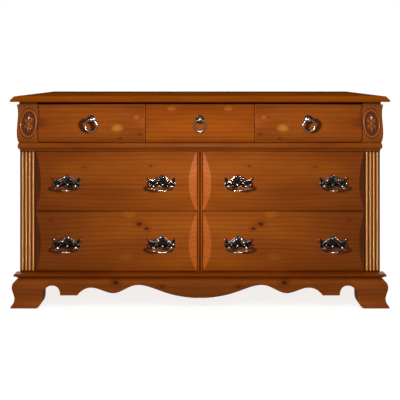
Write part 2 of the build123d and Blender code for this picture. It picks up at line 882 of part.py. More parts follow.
# Guide strips beside the drawer boxes, on the boards that carry them
guides = []
for side in (-1, 1):
    small_guide_x = frieze_outer_x - box_inset + guide_clearance
    large_guide_x = drawer_outer_x - box_inset + guide_clearance
    strips = [(small_guide_x, small_guide_x + guide_width, waist_shelf_z)]
    for shelf_z in (bottom_board_z, dust_panel_z):
        strips.append((large_guide_x, large_guide_x + guide_width, shelf_z))
        strips.append((half_partition, drawer_inner_x + box_inset - guide_clearance, shelf_z))
    for near_x, far_x, shelf_z in strips:
        low_x, high_x = sorted((side * near_x, side * far_x))
        with BuildPart() as guide:
            block((low_x, case_y, shelf_z), (high_x, back_panel_y, shelf_z + guide_height))
        guides.append(guide.part)
save_group(guides, "drawer_guides")
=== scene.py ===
"""Dressed model of a seven-drawer knotty pine dresser with bail and ring pulls."""
import json
import logging
import math
from dataclasses import dataclass, field
from enum import Enum
from typing import Any, Callable, NamedTuple, Sequence, Union

import bmesh
import bpy
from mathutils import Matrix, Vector
from mathutils.bvhtree import BVHTree

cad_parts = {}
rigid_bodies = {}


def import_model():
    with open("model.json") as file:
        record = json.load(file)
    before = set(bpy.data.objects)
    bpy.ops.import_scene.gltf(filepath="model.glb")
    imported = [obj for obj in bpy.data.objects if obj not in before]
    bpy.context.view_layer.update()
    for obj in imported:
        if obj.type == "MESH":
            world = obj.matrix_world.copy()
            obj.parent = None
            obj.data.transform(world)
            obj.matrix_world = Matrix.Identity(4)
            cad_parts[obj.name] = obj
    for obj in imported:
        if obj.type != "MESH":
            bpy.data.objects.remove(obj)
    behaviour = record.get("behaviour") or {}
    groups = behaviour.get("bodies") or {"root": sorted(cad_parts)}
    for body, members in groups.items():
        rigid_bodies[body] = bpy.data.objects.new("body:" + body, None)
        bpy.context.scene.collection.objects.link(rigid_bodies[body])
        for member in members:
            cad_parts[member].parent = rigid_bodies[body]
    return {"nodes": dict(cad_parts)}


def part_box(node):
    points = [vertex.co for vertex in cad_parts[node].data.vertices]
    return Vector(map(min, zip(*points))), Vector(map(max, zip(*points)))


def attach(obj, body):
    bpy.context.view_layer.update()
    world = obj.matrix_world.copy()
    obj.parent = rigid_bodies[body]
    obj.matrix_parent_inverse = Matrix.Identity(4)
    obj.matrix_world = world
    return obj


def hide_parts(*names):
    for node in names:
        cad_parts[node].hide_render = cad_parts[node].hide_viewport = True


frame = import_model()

MM = 0.001
WELD = 0.002 * MM
FLAT_ANGLE = math.radians(0.6)
EDGE_ANGLE = math.radians(32.0)
EDGE_STEPS = 2
LOG = logging.getLogger("dresser")
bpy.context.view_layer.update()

Point = tuple[float, float, float]
Flat = tuple[float, float]
Colour = tuple[float, float, float, float]
Number = Union[float, "Socket"]


def srgb(red: int, green: int, blue: int) -> Colour:
    """Turn a colour of 0 to 255 steps into linear light.

    Args:
        red: red step.
        green: green step.
        blue: blue step.

    Returns:
        The linear colour with full cover.
    """
    parts = [step / 255 for step in (red, green, blue)]
    linear = [p / 12.92 if p <= 0.04045 else ((p + 0.055) / 1.055) ** 2.4 for p in parts]
    return (linear[0], linear[1], linear[2], 1.0)


def math_method(operation: str, turned: bool = False) -> Callable[..., "Socket"]:
    """Make a method that joins a socket and a value through a Math node.

    Args:
        operation: the Math node's operation.
        turned: whether the value comes before the socket.

    Returns:
        The method.
    """

    def method(self: "Socket", other: Number = 0.0) -> "Socket":
        """Add the Math node."""
        first, second = (other, self) if turned else (self, other)
        return self.sheet.add("ShaderNodeMath", {"operation": operation}, {0: first, 1: second})

    return method


class Socket:
    """A node output that Python expressions combine through Math nodes."""

    __add__ = math_method("ADD")
    __sub__ = math_method("SUBTRACT")
    __rsub__ = math_method("SUBTRACT", turned=True)
    __mul__ = math_method("MULTIPLY")
    __truediv__ = math_method("DIVIDE")
    sine = math_method("SINE")
    root = math_method("SQRT")
    size = math_method("ABSOLUTE")
    most = math_method("MAXIMUM")

    def __init__(self, sheet: "NodeSheet", output: bpy.types.NodeSocket | None) -> None:
        """Keep the sheet and the output that the value comes from."""
        self.sheet = sheet
        self.output = output


class NodeSheet:
    """A node tree that is filled by calls to one method."""

    def __init__(self, tree: bpy.types.NodeTree) -> None:
        """Empty the tree and keep it."""
        self.tree = tree
        tree.nodes.clear()

    def add(
        self,
        kind: str,
        settings: dict[str, Any] | None = None,
        inputs: dict[int | str, Any] | None = None,
        output: int | str = 0,
    ) -> Socket:
        """Add a node of any type.

        Args:
            kind: the node's type.
            settings: its properties.
            inputs: values or links by socket name or number.
            output: the output to hand back.

        Returns:
            The chosen output.
        """
        node = self.tree.nodes.new(kind)
        for key, value in (settings or {}).items():
            setattr(node, key, value)
        for key, value in (inputs or {}).items():
            if isinstance(value, Socket):
                self.tree.links.new(value.output, node.inputs[key])
            else:
                node.inputs[key].default_value = value
        return Socket(self, node.outputs[output] if node.outputs else None)

    def split(self, vector: Socket) -> list[Socket]:
        """Split a vector into its three values.

        Args:
            vector: the vector's link.

        Returns:
            The x, y and z values.
        """
        first = self.add("ShaderNodeSeparateXYZ", None, {0: vector})
        return [Socket(self, output) for output in first.output.node.outputs]

    def vector(self, x: Number, y: Number, z: Number) -> Socket:
        """Join three values to a vector."""
        return self.add("ShaderNodeCombineXYZ", None, {0: x, 1: y, 2: z})

    def noise(self, place: Socket, scale: float, detail: float = 2.0, rough: float = 0.5) -> Socket:
        """Add a smooth random field.

        Args:
            place: where it is read.
            scale: how many swells there are to a unit.
            detail: octaves of finer swells.
            rough: how strong the finer swells are.

        Returns:
            A value around one half.
        """
        inputs = {"Vector": place, "Scale": scale, "Detail": detail, "Roughness": rough}
        return self.add("ShaderNodeTexNoise", None, inputs)

    def ease(self, value: Number, low: float, high: float, start: float = 0.0, end: float = 1.0) -> Socket:
        """Step smoothly from one value to another.

        Args:
            value: what is stepped.
            low: where the step starts.
            high: where the step ends.
            start: result below the step.
            end: result above the step.

        Returns:
            The eased value.
        """
        return self.add(
            "ShaderNodeMapRange",
            {"interpolation_type": "SMOOTHSTEP"},
            {"Value": value, "From Min": low, "From Max": high, "To Min": start, "To Max": end},
        )

    def mix(self, share: Number, first: Any, second: Any) -> Socket:
        """Mix two colours.

        Args:
            share: how much of the second colour shows.
            first: colour or link.
            second: colour or link.

        Returns:
            The mixed colour.
        """
        return self.add("ShaderNodeMix", {"data_type": "RGBA"}, {0: share, 6: first, 7: second}, output=2)


class MaterialSheet(NodeSheet):
    """The node tree of one new material."""

    def __init__(self, name: str) -> None:
        """Make the material and open its tree.

        Args:
            name: the material's name.
        """
        self.material = bpy.data.materials.new(name)
        self.material.use_nodes = True
        super().__init__(self.material.node_tree)

    def close(self, shader: dict[int | str, Any]) -> bpy.types.Material:
        """Add the surface shader and the output.

        Args:
            shader: values and links of the surface shader.

        Returns:
            The finished material.
        """
        surface = self.add("ShaderNodeBsdfPrincipled", None, shader)
        self.add("ShaderNodeOutputMaterial", None, {"Surface": surface})
        return self.material


class Grain(Enum):
    """Direction of a board's grain, as the order of the axes along, across and through it."""

    FRONT_WIDE = (0, 2, 1)
    FRONT_UPRIGHT = (2, 0, 1)
    SIDE_UPRIGHT = (2, 1, 0)
    SIDE_DEEP = (1, 2, 0)
    FLAT_WIDE = (0, 1, 2)
    FLAT_DEEP = (1, 0, 2)


@dataclass(frozen=True)
class Knot:
    """A knot in a board: its place along and across the grain, radius, strength and if it is golden."""

    along: float
    across: float
    radius: float
    dark: float = 0.8
    golden: bool = False


class Place(NamedTuple):
    """A place in a board: along, across and through its grain."""

    along: Socket
    across: Socket
    through: Socket


@dataclass(frozen=True)
class Swells:
    """A random field in wood: swells to a metre on the grain's three axes, detail and roughness."""

    along: float
    across: float
    through: float
    detail: float
    rough: float
    seeded: bool = True


@dataclass(frozen=True)
class PineFinish:
    """Varnished knotty pine with the grain in one direction, folded about the dresser's middle."""

    name: str
    grain: Grain
    seed: float = 0.0
    knots: tuple[Knot, ...] = ()
    light: Colour = srgb(198, 102, 18)
    middle: Colour = srgb(172, 81, 11)
    dark: Colour = srgb(124, 52, 9)
    knot_colour: Colour = srgb(58, 22, 6)
    gold: Colour = srgb(230, 148, 50)
    # Painted shade: near-black colour for the front edges of case boards that show in the gaps between
    # drawers.
    gap_shade: Colour = srgb(30, 11, 4)
    ring_pitch: float = 0.022
    rough: float = 0.42
    late_rough: float = 0.14
    coat: float = 0.06
    coat_rough: float = 0.18
    shine: float = 0.22
    # With carved set, the stored relief paints light and shade: the recess share darkens low relief toward
    # knot_colour as painted shade, and the ridge share lightens high relief toward gold as painted
    # highlight.
    carved: bool = False
    ridge: float = 0.2
    recess_shade: float = 0.6
    folded: bool = True
    gap_shade_from: float | None = None
    gap_shade_fade: float = 0.004
    gap_shade_cover: float = 0.92
    broad: Swells = Swells(0.7, 2.6, 2.6, 2.0, 0.5)
    streak: Swells = Swells(1.5, 120.0, 5.0, 3.0, 0.6)
    fibre: Swells = Swells(14.0, 1100.0, 40.0, 2.0, 0.6, False)
    cloud: Swells = Swells(2.2, 6.0, 6.0, 3.0, 0.55)
    patch: Swells = Swells(60.0, 90.0, 1.0, 2.0, 0.5, False)
    waver: float = 0.11
    seed_step: float = 3.7
    ring_step: float = 5.0
    knot_length: float = 0.62
    knot_push: float = 1.5
    knot_core: float = 0.45
    knot_rings: float = 34.0
    knot_ring_depth: float = 0.09
    bump: float = 0.18
    bump_height: float = 0.0006

    def read(self, sheet: NodeSheet, swells: Swells, place: Place) -> Socket:
        """Read a random field at a place in the wood.

        Args:
            sheet: the material's nodes.
            swells: the field.
            place: where it is read.

        Returns:
            A value around one half.
        """
        depth = place.through * swells.through + (self.seed if swells.seeded else 0.0)
        spot = sheet.vector(place.along * swells.along, place.across * swells.across, depth)
        return sheet.noise(spot, 1.0, swells.detail, swells.rough)

    def knotted(self, sheet: NodeSheet, place: Place, flow: Socket) -> tuple[Socket, dict[str, Socket]]:
        """Bend the rings around the knots and mark the knots.

        Args:
            sheet: the material's nodes.
            place: where the wood is read.
            flow: place across the rings.

        Returns:
            The bent place, and how much of each kind of mark shows.
        """
        marks: dict[str, Socket] = {}
        for knot in self.knots:
            step_along = (place.along - knot.along) * self.knot_length
            step_across = place.across - knot.across
            reach = step_along * step_along + step_across * step_across
            size = knot.radius**2
            flow = flow - step_across * (self.knot_push * size) / (reach + self.knot_core * size)
            if knot.golden:
                uneven = self.read(sheet, self.patch, place) * 1.6 + 0.2
                shown = {"gold": sheet.ease(reach * uneven, 0.0, 3.0 * size, knot.dark, 0.0)}
            else:
                wave = (reach.root() * (self.knot_rings / knot.radius)).sine() * self.knot_ring_depth
                shown = {
                    "halo": sheet.ease(reach, 0.6 * size, 7.0 * size, 0.5 * knot.dark, 0.0),
                    "heart": sheet.ease((wave + 1.0) * reach, 0.30 * size, 0.95 * size, knot.dark, 0.0),
                }
            for kind, mark in shown.items():
                marks[kind] = marks[kind].most(mark) if kind in marks else mark
        return flow, marks

    def material(self) -> bpy.types.Material:
        """Build the wood's nodes.

        Returns:
            The finished material.
        """
        sheet = MaterialSheet(self.name)
        axes = sheet.split(sheet.add("ShaderNodeTexCoord", output="Object"))
        depth = axes[1]
        if self.folded:
            axes[0] = 0.0 - axes[0].size()
        place = Place(*(axes[number] for number in self.grain.value))
        shifted = place._replace(along=place.along + self.seed * self.seed_step)
        broad = self.read(sheet, self.broad, shifted)
        flow, marks = self.knotted(sheet, place, place.across + (broad - 0.5) * self.waver)
        bent = shifted._replace(across=flow)
        rings = (flow * (math.tau / self.ring_pitch) + self.seed * self.ring_step).sine() * 0.5 + 0.5
        streak = self.read(sheet, self.streak, bent)
        fibre = self.read(sheet, self.fibre, bent)
        cloud = self.read(sheet, self.cloud, shifted)
        late = sheet.ease(rings * 0.45 + streak * 0.85, 0.55, 1.02)
        tint = sheet.mix(sheet.ease(cloud, 0.30, 0.70), self.light, self.middle)
        for share in (
            late * 0.36,
            sheet.ease(broad, 0.40, 0.70, 0.0, 0.45),
            sheet.ease(fibre, 0.40, 0.80, 0.0, 0.22),
        ):
            tint = sheet.mix(share, tint, self.dark)
        for kind, colour in (("halo", self.dark), ("heart", self.knot_colour), ("gold", self.gold)):
            if kind in marks:
                tint = sheet.mix(marks[kind], tint, colour)
        # Painted shade on the part of the board in front of the given depth, fading out behind it.
        if self.gap_shade_from is not None:
            faded = self.gap_shade_from + self.gap_shade_fade
            cover = sheet.ease(depth, self.gap_shade_from, faded, self.gap_shade_cover, 0.0)
            tint = sheet.mix(cover, tint, self.gap_shade)
        # Painted shade in the hollows and painted highlight on the ridges, read from the stored relief.
        if self.carved:
            shading_relief = sheet.add("ShaderNodeAttribute", {"attribute_name": "relief"}, output="Fac")
            tint = sheet.mix(sheet.ease(shading_relief, 0.3, 0.9, self.recess_shade, 0.0), tint, self.knot_colour)
            tint = sheet.mix(sheet.ease(shading_relief, 0.7, 1.0, 0.0, self.ridge), tint, self.gold)
        relief = {"Strength": self.bump, "Distance": self.bump_height, "Height": late * 0.6 + fibre * 0.4}
        return sheet.close(
            {
                "Base Color": tint,
                "Roughness": sheet.ease(late, 0.0, 1.0, self.rough, self.rough + self.late_rough),
                "Specular IOR Level": self.shine,
                "Coat Weight": self.coat,
                "Coat Roughness": self.coat_rough,
                "Normal": sheet.add("ShaderNodeBump", None, relief),
            }
        )


@dataclass(frozen=True)
class BrassFinish:
    """Cast brass with a dark patina in its hollows and bright rubbed ridges."""

    name: str
    hollow: Colour = srgb(24, 17, 13)
    middle: Colour = srgb(56, 41, 33)
    ridge: Colour = srgb(226, 206, 194)
    hollow_rough: float = 0.44
    ridge_rough: float = 0.18
    mottle_swells: float = 160.0
    grit_swells: float = 900.0
    bump: float = 0.25
    bump_height: float = 0.0003

    def material(self) -> bpy.types.Material:
        """Build the metal's nodes from the relief that each piece stores.

        Returns:
            The finished material.
        """
        sheet = MaterialSheet(self.name)
        place = sheet.add("ShaderNodeTexCoord", output="Object")
        relief = sheet.add("ShaderNodeAttribute", {"attribute_name": "relief"}, output="Fac")
        mottle = sheet.noise(place, self.mottle_swells, 3.0, 0.6)
        grit = sheet.noise(place, self.grit_swells, 2.0, 0.6)
        rubbed = relief + (mottle - 0.5) * 0.5
        tint = sheet.mix(sheet.ease(rubbed, 0.05, 0.55), self.hollow, self.middle)
        tint = sheet.mix(sheet.ease(rubbed, 0.55, 1.0), tint, self.ridge)
        rough = sheet.ease(rubbed, 0.0, 1.0, self.hollow_rough, self.ridge_rough)
        cast = {"Strength": self.bump, "Distance": self.bump_height, "Height": mottle + grit * 0.5}
        return sheet.close(
            {
                "Base Color": tint,
                "Metallic": 1.0,
                "Roughness": rough + (grit - 0.5) * 0.1,
                "Normal": sheet.add("ShaderNodeBump", None, cast),
            }
        )


@dataclass(frozen=True)
class FloorFinish:
    """Pale matt studio floor."""

    name: str
    tone: Colour = srgb(246, 246, 245)
    speck: Colour = srgb(214, 214, 212)
    speck_swells: float = 30.0

    def material(self) -> bpy.types.Material:
        """Build the floor's nodes.

        Returns:
            The finished material.
        """
        sheet = MaterialSheet(self.name)
        place = sheet.add("ShaderNodeTexCoord", output="Object")
        share = sheet.noise(place, self.speck_swells, 3.0) * 0.04
        tint = sheet.mix(share, self.tone, self.speck)
        return sheet.close({"Base Color": tint, "Roughness": 0.9, "Specular IOR Level": 0.1})


@dataclass
class MeshStock:
    """Points, faces and relief of a piece while it is put together."""

    points: list[Point] = field(default_factory=list)
    faces: list[tuple[int, ...]] = field(default_factory=list)
    relief: list[float] = field(default_factory=list)

    def absorb(
        self, mesh: bpy.types.Mesh, relief: float | None, move: Callable[[Vector], Point] = tuple
    ) -> None:
        """Take over a finished mesh.

        Args:
            mesh: the mesh.
            relief: how far its points stand out, or None for the mesh's own relief.
            move: gives each point its place.
        """
        start = len(self.points)
        self.points.extend(move(v.co) for v in mesh.vertices)
        if relief is None:
            self.relief.extend(entry.value for entry in mesh.attributes["relief"].data)
        else:
            self.relief.extend(relief for _ in mesh.vertices)
        self.faces.extend(tuple(start + i for i in face.vertices) for face in mesh.polygons)

    def copy_from(self, other: "MeshStock", move: Callable[[Point], Point]) -> None:
        """Take over a moved copy of another stock.

        Args:
            other: what is copied.
            move: gives each point its new place.
        """
        start = len(self.points)
        self.points.extend(move(p) for p in other.points)
        self.relief.extend(other.relief)
        self.faces.extend(tuple(start + i for i in face) for face in other.faces)

    def stitch(self, start: int, rounds: int, sides: int, closed: bool = False) -> None:
        """Join rounds of points with faces and cap open ends.

        Args:
            start: number of the first point.
            rounds: number of rounds.
            sides: number of points in a round.
            closed: whether the last round joins the first.
        """
        for place in range(rounds if closed else rounds - 1):
            here, there = start + place * sides, start + ((place + 1) % rounds) * sides
            for side in range(sides):
                after = (side + 1) % sides
                self.faces.append((here + side, there + side, there + after, here + after))
        if not closed:
            last = start + (rounds - 1) * sides
            self.faces.append(tuple(range(start, start + sides)))
            self.faces.append(tuple(reversed(range(last, last + sides))))

    def tube(
        self, path: Sequence[Vector], radii: Sequence[float], sides: int, closed: bool = False
    ) -> None:
        """Sweep a round section along a path in an upright plane.

        Args:
            path: the points of the centre line.
            radii: the section's radius at each point.
            sides: number of sides of the section.
            closed: whether the path runs into its own start.
        """
        start = len(self.points)
        count = len(path)
        outward = Vector((0.0, -1.0, 0.0))
        for place in range(count):
            before = path[(place - 1) % count] if closed or place > 0 else path[place]
            after = path[(place + 1) % count] if closed or place < count - 1 else path[place]
            heading = (after - before).normalized()
            sideways = heading.cross(outward).normalized()
            front = sideways.cross(heading).normalized()
            for side in range(sides):
                turn = 2 * math.pi * side / sides
                offset = sideways * math.cos(turn) + front * math.sin(turn)
                self.points.append(tuple(path[place] + offset * radii[place]))
                # Relief rises toward the front-facing side: on brass it marks the rubbed front, and on the
                # reeds the wood finish turns it into a painted highlight on the front and painted shade on
                # the flanks.
                self.relief.append(max(0.0, min(1.0, 0.42 - 0.58 * offset.y)))
        self.stitch(start, count, sides, closed)

    def lathe(
        self, centre: Vector, profile: Sequence[Flat], sides: int, seat: Callable[[float], float]
    ) -> None:
        """Turn a profile about an axis that points out of the drawer's face.

        Args:
            centre: middle of the turned piece, with x and z used.
            profile: radius and forward reach in millimetres, from the rim to the middle.
            sides: number of sides.
            seat: gives the depth of the face at a height.
        """
        start = len(self.points)
        reach = max(forward for _, forward in profile) * MM
        for radius, forward in ((r * MM, h * MM) for r, h in profile):
            for side in range(sides):
                turn = 2 * math.pi * side / sides
                x, z = centre.x + radius * math.cos(turn), centre.z + radius * math.sin(turn)
                self.points.append((x, seat(z) - forward, z))
                self.relief.append(max(0.05, forward / reach) ** 1.5)
        self.stitch(start, len(profile), sides)

    def build(self, name: str, material: bpy.types.Material, angle: float = 40.0) -> bpy.types.Object:
        """Make the object.

        Args:
            name: the piece's name.
            material: its finish.
            angle: edges sharper than this stay sharp, in degrees.

        Returns:
            The new object at the origin.
        """
        mesh = bpy.data.meshes.new(name)
        mesh.from_pydata(self.points, [], self.faces)
        store = mesh.attributes.new("relief", "FLOAT", "POINT")
        store.data.foreach_set("value", self.relief)
        work = bmesh.new()
        work.from_mesh(mesh)
        bmesh.ops.recalc_face_normals(work, faces=work.faces)
        work.to_mesh(mesh)
        work.free()
        return place_mesh(mesh, name, material, angle)


def level(height: float) -> float:
    """Depth of a flat face at any height, from itself."""
    return 0.0


def place_mesh(
    mesh: bpy.types.Mesh, name: str, material: bpy.types.Material, angle: float
) -> bpy.types.Object:
    """Put a mesh into the scene as an object at the origin.

    Args:
        mesh: the mesh, in its place.
        name: the piece's name.
        material: its finish, which replaces those on the mesh.
        angle: edges sharper than this stay sharp, in degrees.

    Returns:
        The new object.
    """
    mesh.name = name
    mesh.materials.clear()
    mesh.materials.append(material)
    mesh.shade_smooth()
    mesh.set_sharp_from_angle(angle=math.radians(angle))
    piece = bpy.data.objects.new(name, mesh)
    bpy.context.scene.collection.objects.link(piece)
    return piece


def plain_mesh(piece: bpy.types.Object) -> bpy.types.Mesh:
    """Evaluate an object's modifiers to a plain mesh and delete the object.

    Args:
        piece: object with modifiers.

    Returns:
        The finished mesh.
    """
    graph = bpy.context.evaluated_depsgraph_get()
    mesh = bpy.data.meshes.new_from_object(piece.evaluated_get(graph))
    bpy.data.objects.remove(piece)
    return mesh


def eased_copy(node: str, width: float, material: bpy.types.Material) -> bpy.types.Object:
    """Copy a solid's mesh and round its sharp edges a little.

    Args:
        node: the solid's name.
        width: how far the rounding reaches from an edge.
        material: the piece's finish.

    Returns:
        The new piece, which does not ride yet.
    """
    mesh = frame["nodes"][node].data.copy()
    work = bmesh.new()
    work.from_mesh(mesh)
    bmesh.ops.remove_doubles(work, verts=work.verts, dist=WELD)
    bmesh.ops.dissolve_limit(work, angle_limit=FLAT_ANGLE, verts=work.verts, edges=work.edges)
    work.to_mesh(mesh)
    work.free()
    raw = bpy.data.objects.new("raw_" + node, mesh)
    bpy.context.scene.collection.objects.link(raw)
    rounding = raw.modifiers.new("rounding", "BEVEL")
    rounding.width = width
    rounding.segments = EDGE_STEPS
    rounding.limit_method = "ANGLE"
    rounding.angle_limit = EDGE_ANGLE
    return place_mesh(plain_mesh(raw), "dressed_" + node, material, 38.0)


def eased_board(low: Vector, high: Vector, edge: float) -> bpy.types.Mesh:
    """Make a plain board with rounded edges.

    Args:
        low: lowest corner.
        high: highest corner.
        edge: how far the rounding reaches.

    Returns:
        The board's mesh.
    """
    work = bmesh.new()
    bmesh.ops.create_cube(work, size=1.0)
    for vert in work.verts:
        vert.co = Vector(low[axis] if vert.co[axis] < 0 else high[axis] for axis in range(3))
    bmesh.ops.bevel(work, geom=work.edges[:], offset=edge, segments=EDGE_STEPS, profile=0.5, affect="EDGES")
    mesh = bpy.data.meshes.new("eased_board")
    work.to_mesh(mesh)
    work.free()
    return mesh


def smooth_path(points: Sequence[Flat], steps: int = 6) -> list[Flat]:
    """Draw a smooth line through points.

    Args:
        points: the points to pass through.
        steps: number of steps between two points.

    Returns:
        The points of the smooth line.
    """
    line: list[Flat] = []
    ends = [points[0], *points, points[-1]]
    for place in range(1, len(ends) - 2):
        axes = list(zip(*ends[place - 1 : place + 3]))
        for step in range(steps):
            t = step / steps
            line.append(tuple(
                q + t * ((r - p) + t * ((2 * p - 5 * q + 4 * r - s) + t * (3 * q - p - 3 * r + s))) / 2
                for p, q, r, s in axes
            ))
    line.append(points[-1])
    return line


def rounded_route(points: Sequence[Flat], radii: Sequence[float], steps: int = 8) -> list[Flat]:
    """Round the corners of a route with tangent arcs.

    Args:
        points: the route's corners.
        radii: one radius for each inner corner.
        steps: number of steps in each arc.

    Returns:
        The points of the rounded route.
    """
    line: list[Flat] = [points[0]]
    for place, radius in enumerate(radii, start=1):
        corner = Vector(points[place])
        back = (Vector(points[place - 1]) - corner).normalized()
        ahead = (Vector(points[place + 1]) - corner).normalized()
        half = back.angle(ahead) / 2
        middle = corner + (back + ahead).normalized() * (radius / math.sin(half))
        reach = radius / math.tan(half)
        first, last = corner + back * reach - middle, corner + ahead * reach - middle
        for step in range(steps + 1):
            spoke = first.lerp(last, step / steps).normalized() * radius
            line.append(tuple(middle + spoke))
    line.append(points[-1])
    return line


def spread(values: Sequence[float], count: int) -> list[float]:
    """Spread a few values evenly over a number of points.

    Args:
        values: values from start to end.
        count: number of points.

    Returns:
        One value for each point.
    """
    result = []
    for place in range(count):
        at = place * (len(values) - 1) / max(1, count - 1)
        low = min(int(at), len(values) - 2)
        result.append(values[low] + (values[low + 1] - values[low]) * (at - low))
    return result


class Skin:
    """Front face of a solid, read along straight lines from the front."""

    def __init__(self, node: str, x: float) -> None:
        """Make the solid's search tree and fix where its section is read.

        Args:
            node: the solid's name.
            x: place across at which the section is read.
        """
        mesh = frame["nodes"][node].data
        self.tree = BVHTree.FromPolygons([v.co for v in mesh.vertices], [p.vertices for p in mesh.polygons])
        self.x = x
        self.known: dict[int, float] = {}

    def depth(self, z: float) -> float:
        """Find the face's depth at a height.

        Args:
            z: height.

        Returns:
            The depth of the first face from the front.
        """
        key = round(z * 1e5)
        if key not in self.known:
            hit = self.tree.ray_cast(Vector((self.x, -2.0, z)), Vector((0, 1, 0)))[0]
            self.known[key] = hit.y if hit else 0.0
        return self.known[key]

    def lay(self, x: float, z: float) -> Callable[[Point], Point]:
        """Make a move that lays points, given about a middle, on the face.

        Args:
            x: the middle's place across.
            z: the middle's height.

        Returns:
            The move.
        """

        def move(point: Point) -> Point:
            """Lay one point."""
            return (x + point[0], self.depth(z + point[2]) + point[1], z + point[2])

        return move


class NodeTool:
    """Geometry Nodes with named inputs that repeat a shape and dress it."""

    inputs: tuple[tuple[str, str], ...] = ()

    def __init__(self, name: str) -> None:
        """Build the tree around the shapes that the kind of tool makes.

        Args:
            name: the tree's name.
        """
        self.tree = bpy.data.node_groups.new(name, "GeometryNodeTree")
        face = self.tree.interface
        face.new_socket("Start", in_out="INPUT", socket_type="NodeSocketGeometry")
        self.sockets = {
            label: face.new_socket(label, in_out="INPUT", socket_type=kind).identifier
            for label, kind in (*self.inputs, ("Finish", "NodeSocketMaterial"))
        }
        face.new_socket("Shapes", in_out="OUTPUT", socket_type="NodeSocketGeometry")
        sheet = NodeSheet(self.tree)
        entry = sheet.add("NodeGroupInput").output.node
        given = {socket.name: Socket(sheet, socket) for socket in entry.outputs}
        real = sheet.add("GeometryNodeRealizeInstances", None, {0: self.shapes(sheet, given)})
        dressed = sheet.add("GeometryNodeSetMaterial", None, {"Geometry": real, "Material": given["Finish"]})
        sheet.add("NodeGroupOutput", None, {0: dressed})

    def shapes(self, sheet: NodeSheet, given: dict[str, Socket]) -> Socket:
        """Place the shapes, which each kind of tool does in its own way."""
        raise NotImplementedError

    def run(self, start: bpy.types.Object, **values: Any) -> bpy.types.Mesh:
        """Run the tool on an object.

        Args:
            start: the object, which is used up.
            values: the tool's inputs by name.

        Returns:
            One plain mesh of all shapes.
        """
        tool = start.modifiers.new("shapes", "NODES")
        tool.node_group = self.tree
        for label, value in values.items():
            tool[self.sockets[label]] = value
        return plain_mesh(start)


class PathTool(NodeTool):
    """Geometry Nodes that set beads at even steps along a line."""

    inputs = (("Count", "NodeSocketInt"), ("Radius", "NodeSocketFloat"))

    def shapes(self, sheet: NodeSheet, given: dict[str, Socket]) -> Socket:
        """Place a bead at each of the line's even points.

        Args:
            sheet: the tool's nodes.
            given: the tool's inputs by name.

        Returns:
            The beads.
        """
        line = sheet.add("GeometryNodeMeshToCurve", None, {0: given["Start"]})
        even = {"Curve": line, "Count": given["Count"]}
        steps = sheet.add("GeometryNodeResampleCurve", {"mode": "COUNT"}, even)
        points = sheet.add("GeometryNodeCurveToPoints", {"mode": "EVALUATED"}, {0: steps})
        bead = sheet.add("GeometryNodeMeshIcoSphere", None, {"Radius": given["Radius"], "Subdivisions": 2})
        return sheet.add("GeometryNodeInstanceOnPoints", None, {"Points": points, "Instance": bead})

    def along(
        self, line: Sequence[Point], count: int, radius: float, finish: bpy.types.Material
    ) -> bpy.types.Mesh:
        """Set beads along a line.

        Args:
            line: the points of the line.
            count: number of beads.
            radius: radius of a bead.
            finish: the beads' material.

        Returns:
            One plain mesh of all beads.
        """
        mesh = bpy.data.meshes.new("bead_line")
        mesh.from_pydata(list(line), [(i, i + 1) for i in range(len(line) - 1)], [])
        holder = bpy.data.objects.new("bead_line", mesh)
        bpy.context.scene.collection.objects.link(holder)
        return self.run(holder, Count=count, Radius=radius, Finish=finish)


class RowTool(NodeTool):
    """Geometry Nodes that repeat a shape at even steps in a row."""

    inputs = (("Count", "NodeSocketInt"), ("Step", "NodeSocketVector"))

    def shapes(self, sheet: NodeSheet, given: dict[str, Socket]) -> Socket:
        """Place the shape at each step of the row.

        Args:
            sheet: the tool's nodes.
            given: the tool's inputs by name.

        Returns:
            The row of shapes.
        """
        even = {"Count": given["Count"], "Offset": given["Step"]}
        seats = sheet.add("GeometryNodeMeshLine", {"mode": "OFFSET"}, even)
        return sheet.add("GeometryNodeInstanceOnPoints", None, {"Points": seats, "Instance": given["Start"]})


def settle(piece: bpy.types.Object, body: str, slot: str, *nodes: str) -> bpy.types.Object:
    """Hang a piece on its body and hide the solids that it stands for.

    Args:
        piece: the finished piece.
        body: the body that it moves with.
        slot: not used.
        nodes: the solids that it stands for.

    Returns:
        The same piece.
    """
    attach(piece, body)
    if nodes:
        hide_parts(*nodes)
    LOG.info("%s rides on %s with %d faces", piece.name, body, len(piece.data.polygons))
    return piece


def dress_node(node: str, material: bpy.types.Material) -> None:
    """Give a solid that stays visible its finish.

    Args:
        node: the solid's name.
        material: its finish.
    """
    solid = frame["nodes"][node]
    if not solid.material_slots:
        solid.data.materials.append(material)
    for place in solid.material_slots:
        place.material = material
    LOG.info("%s keeps its solid in %s", node, material.name)


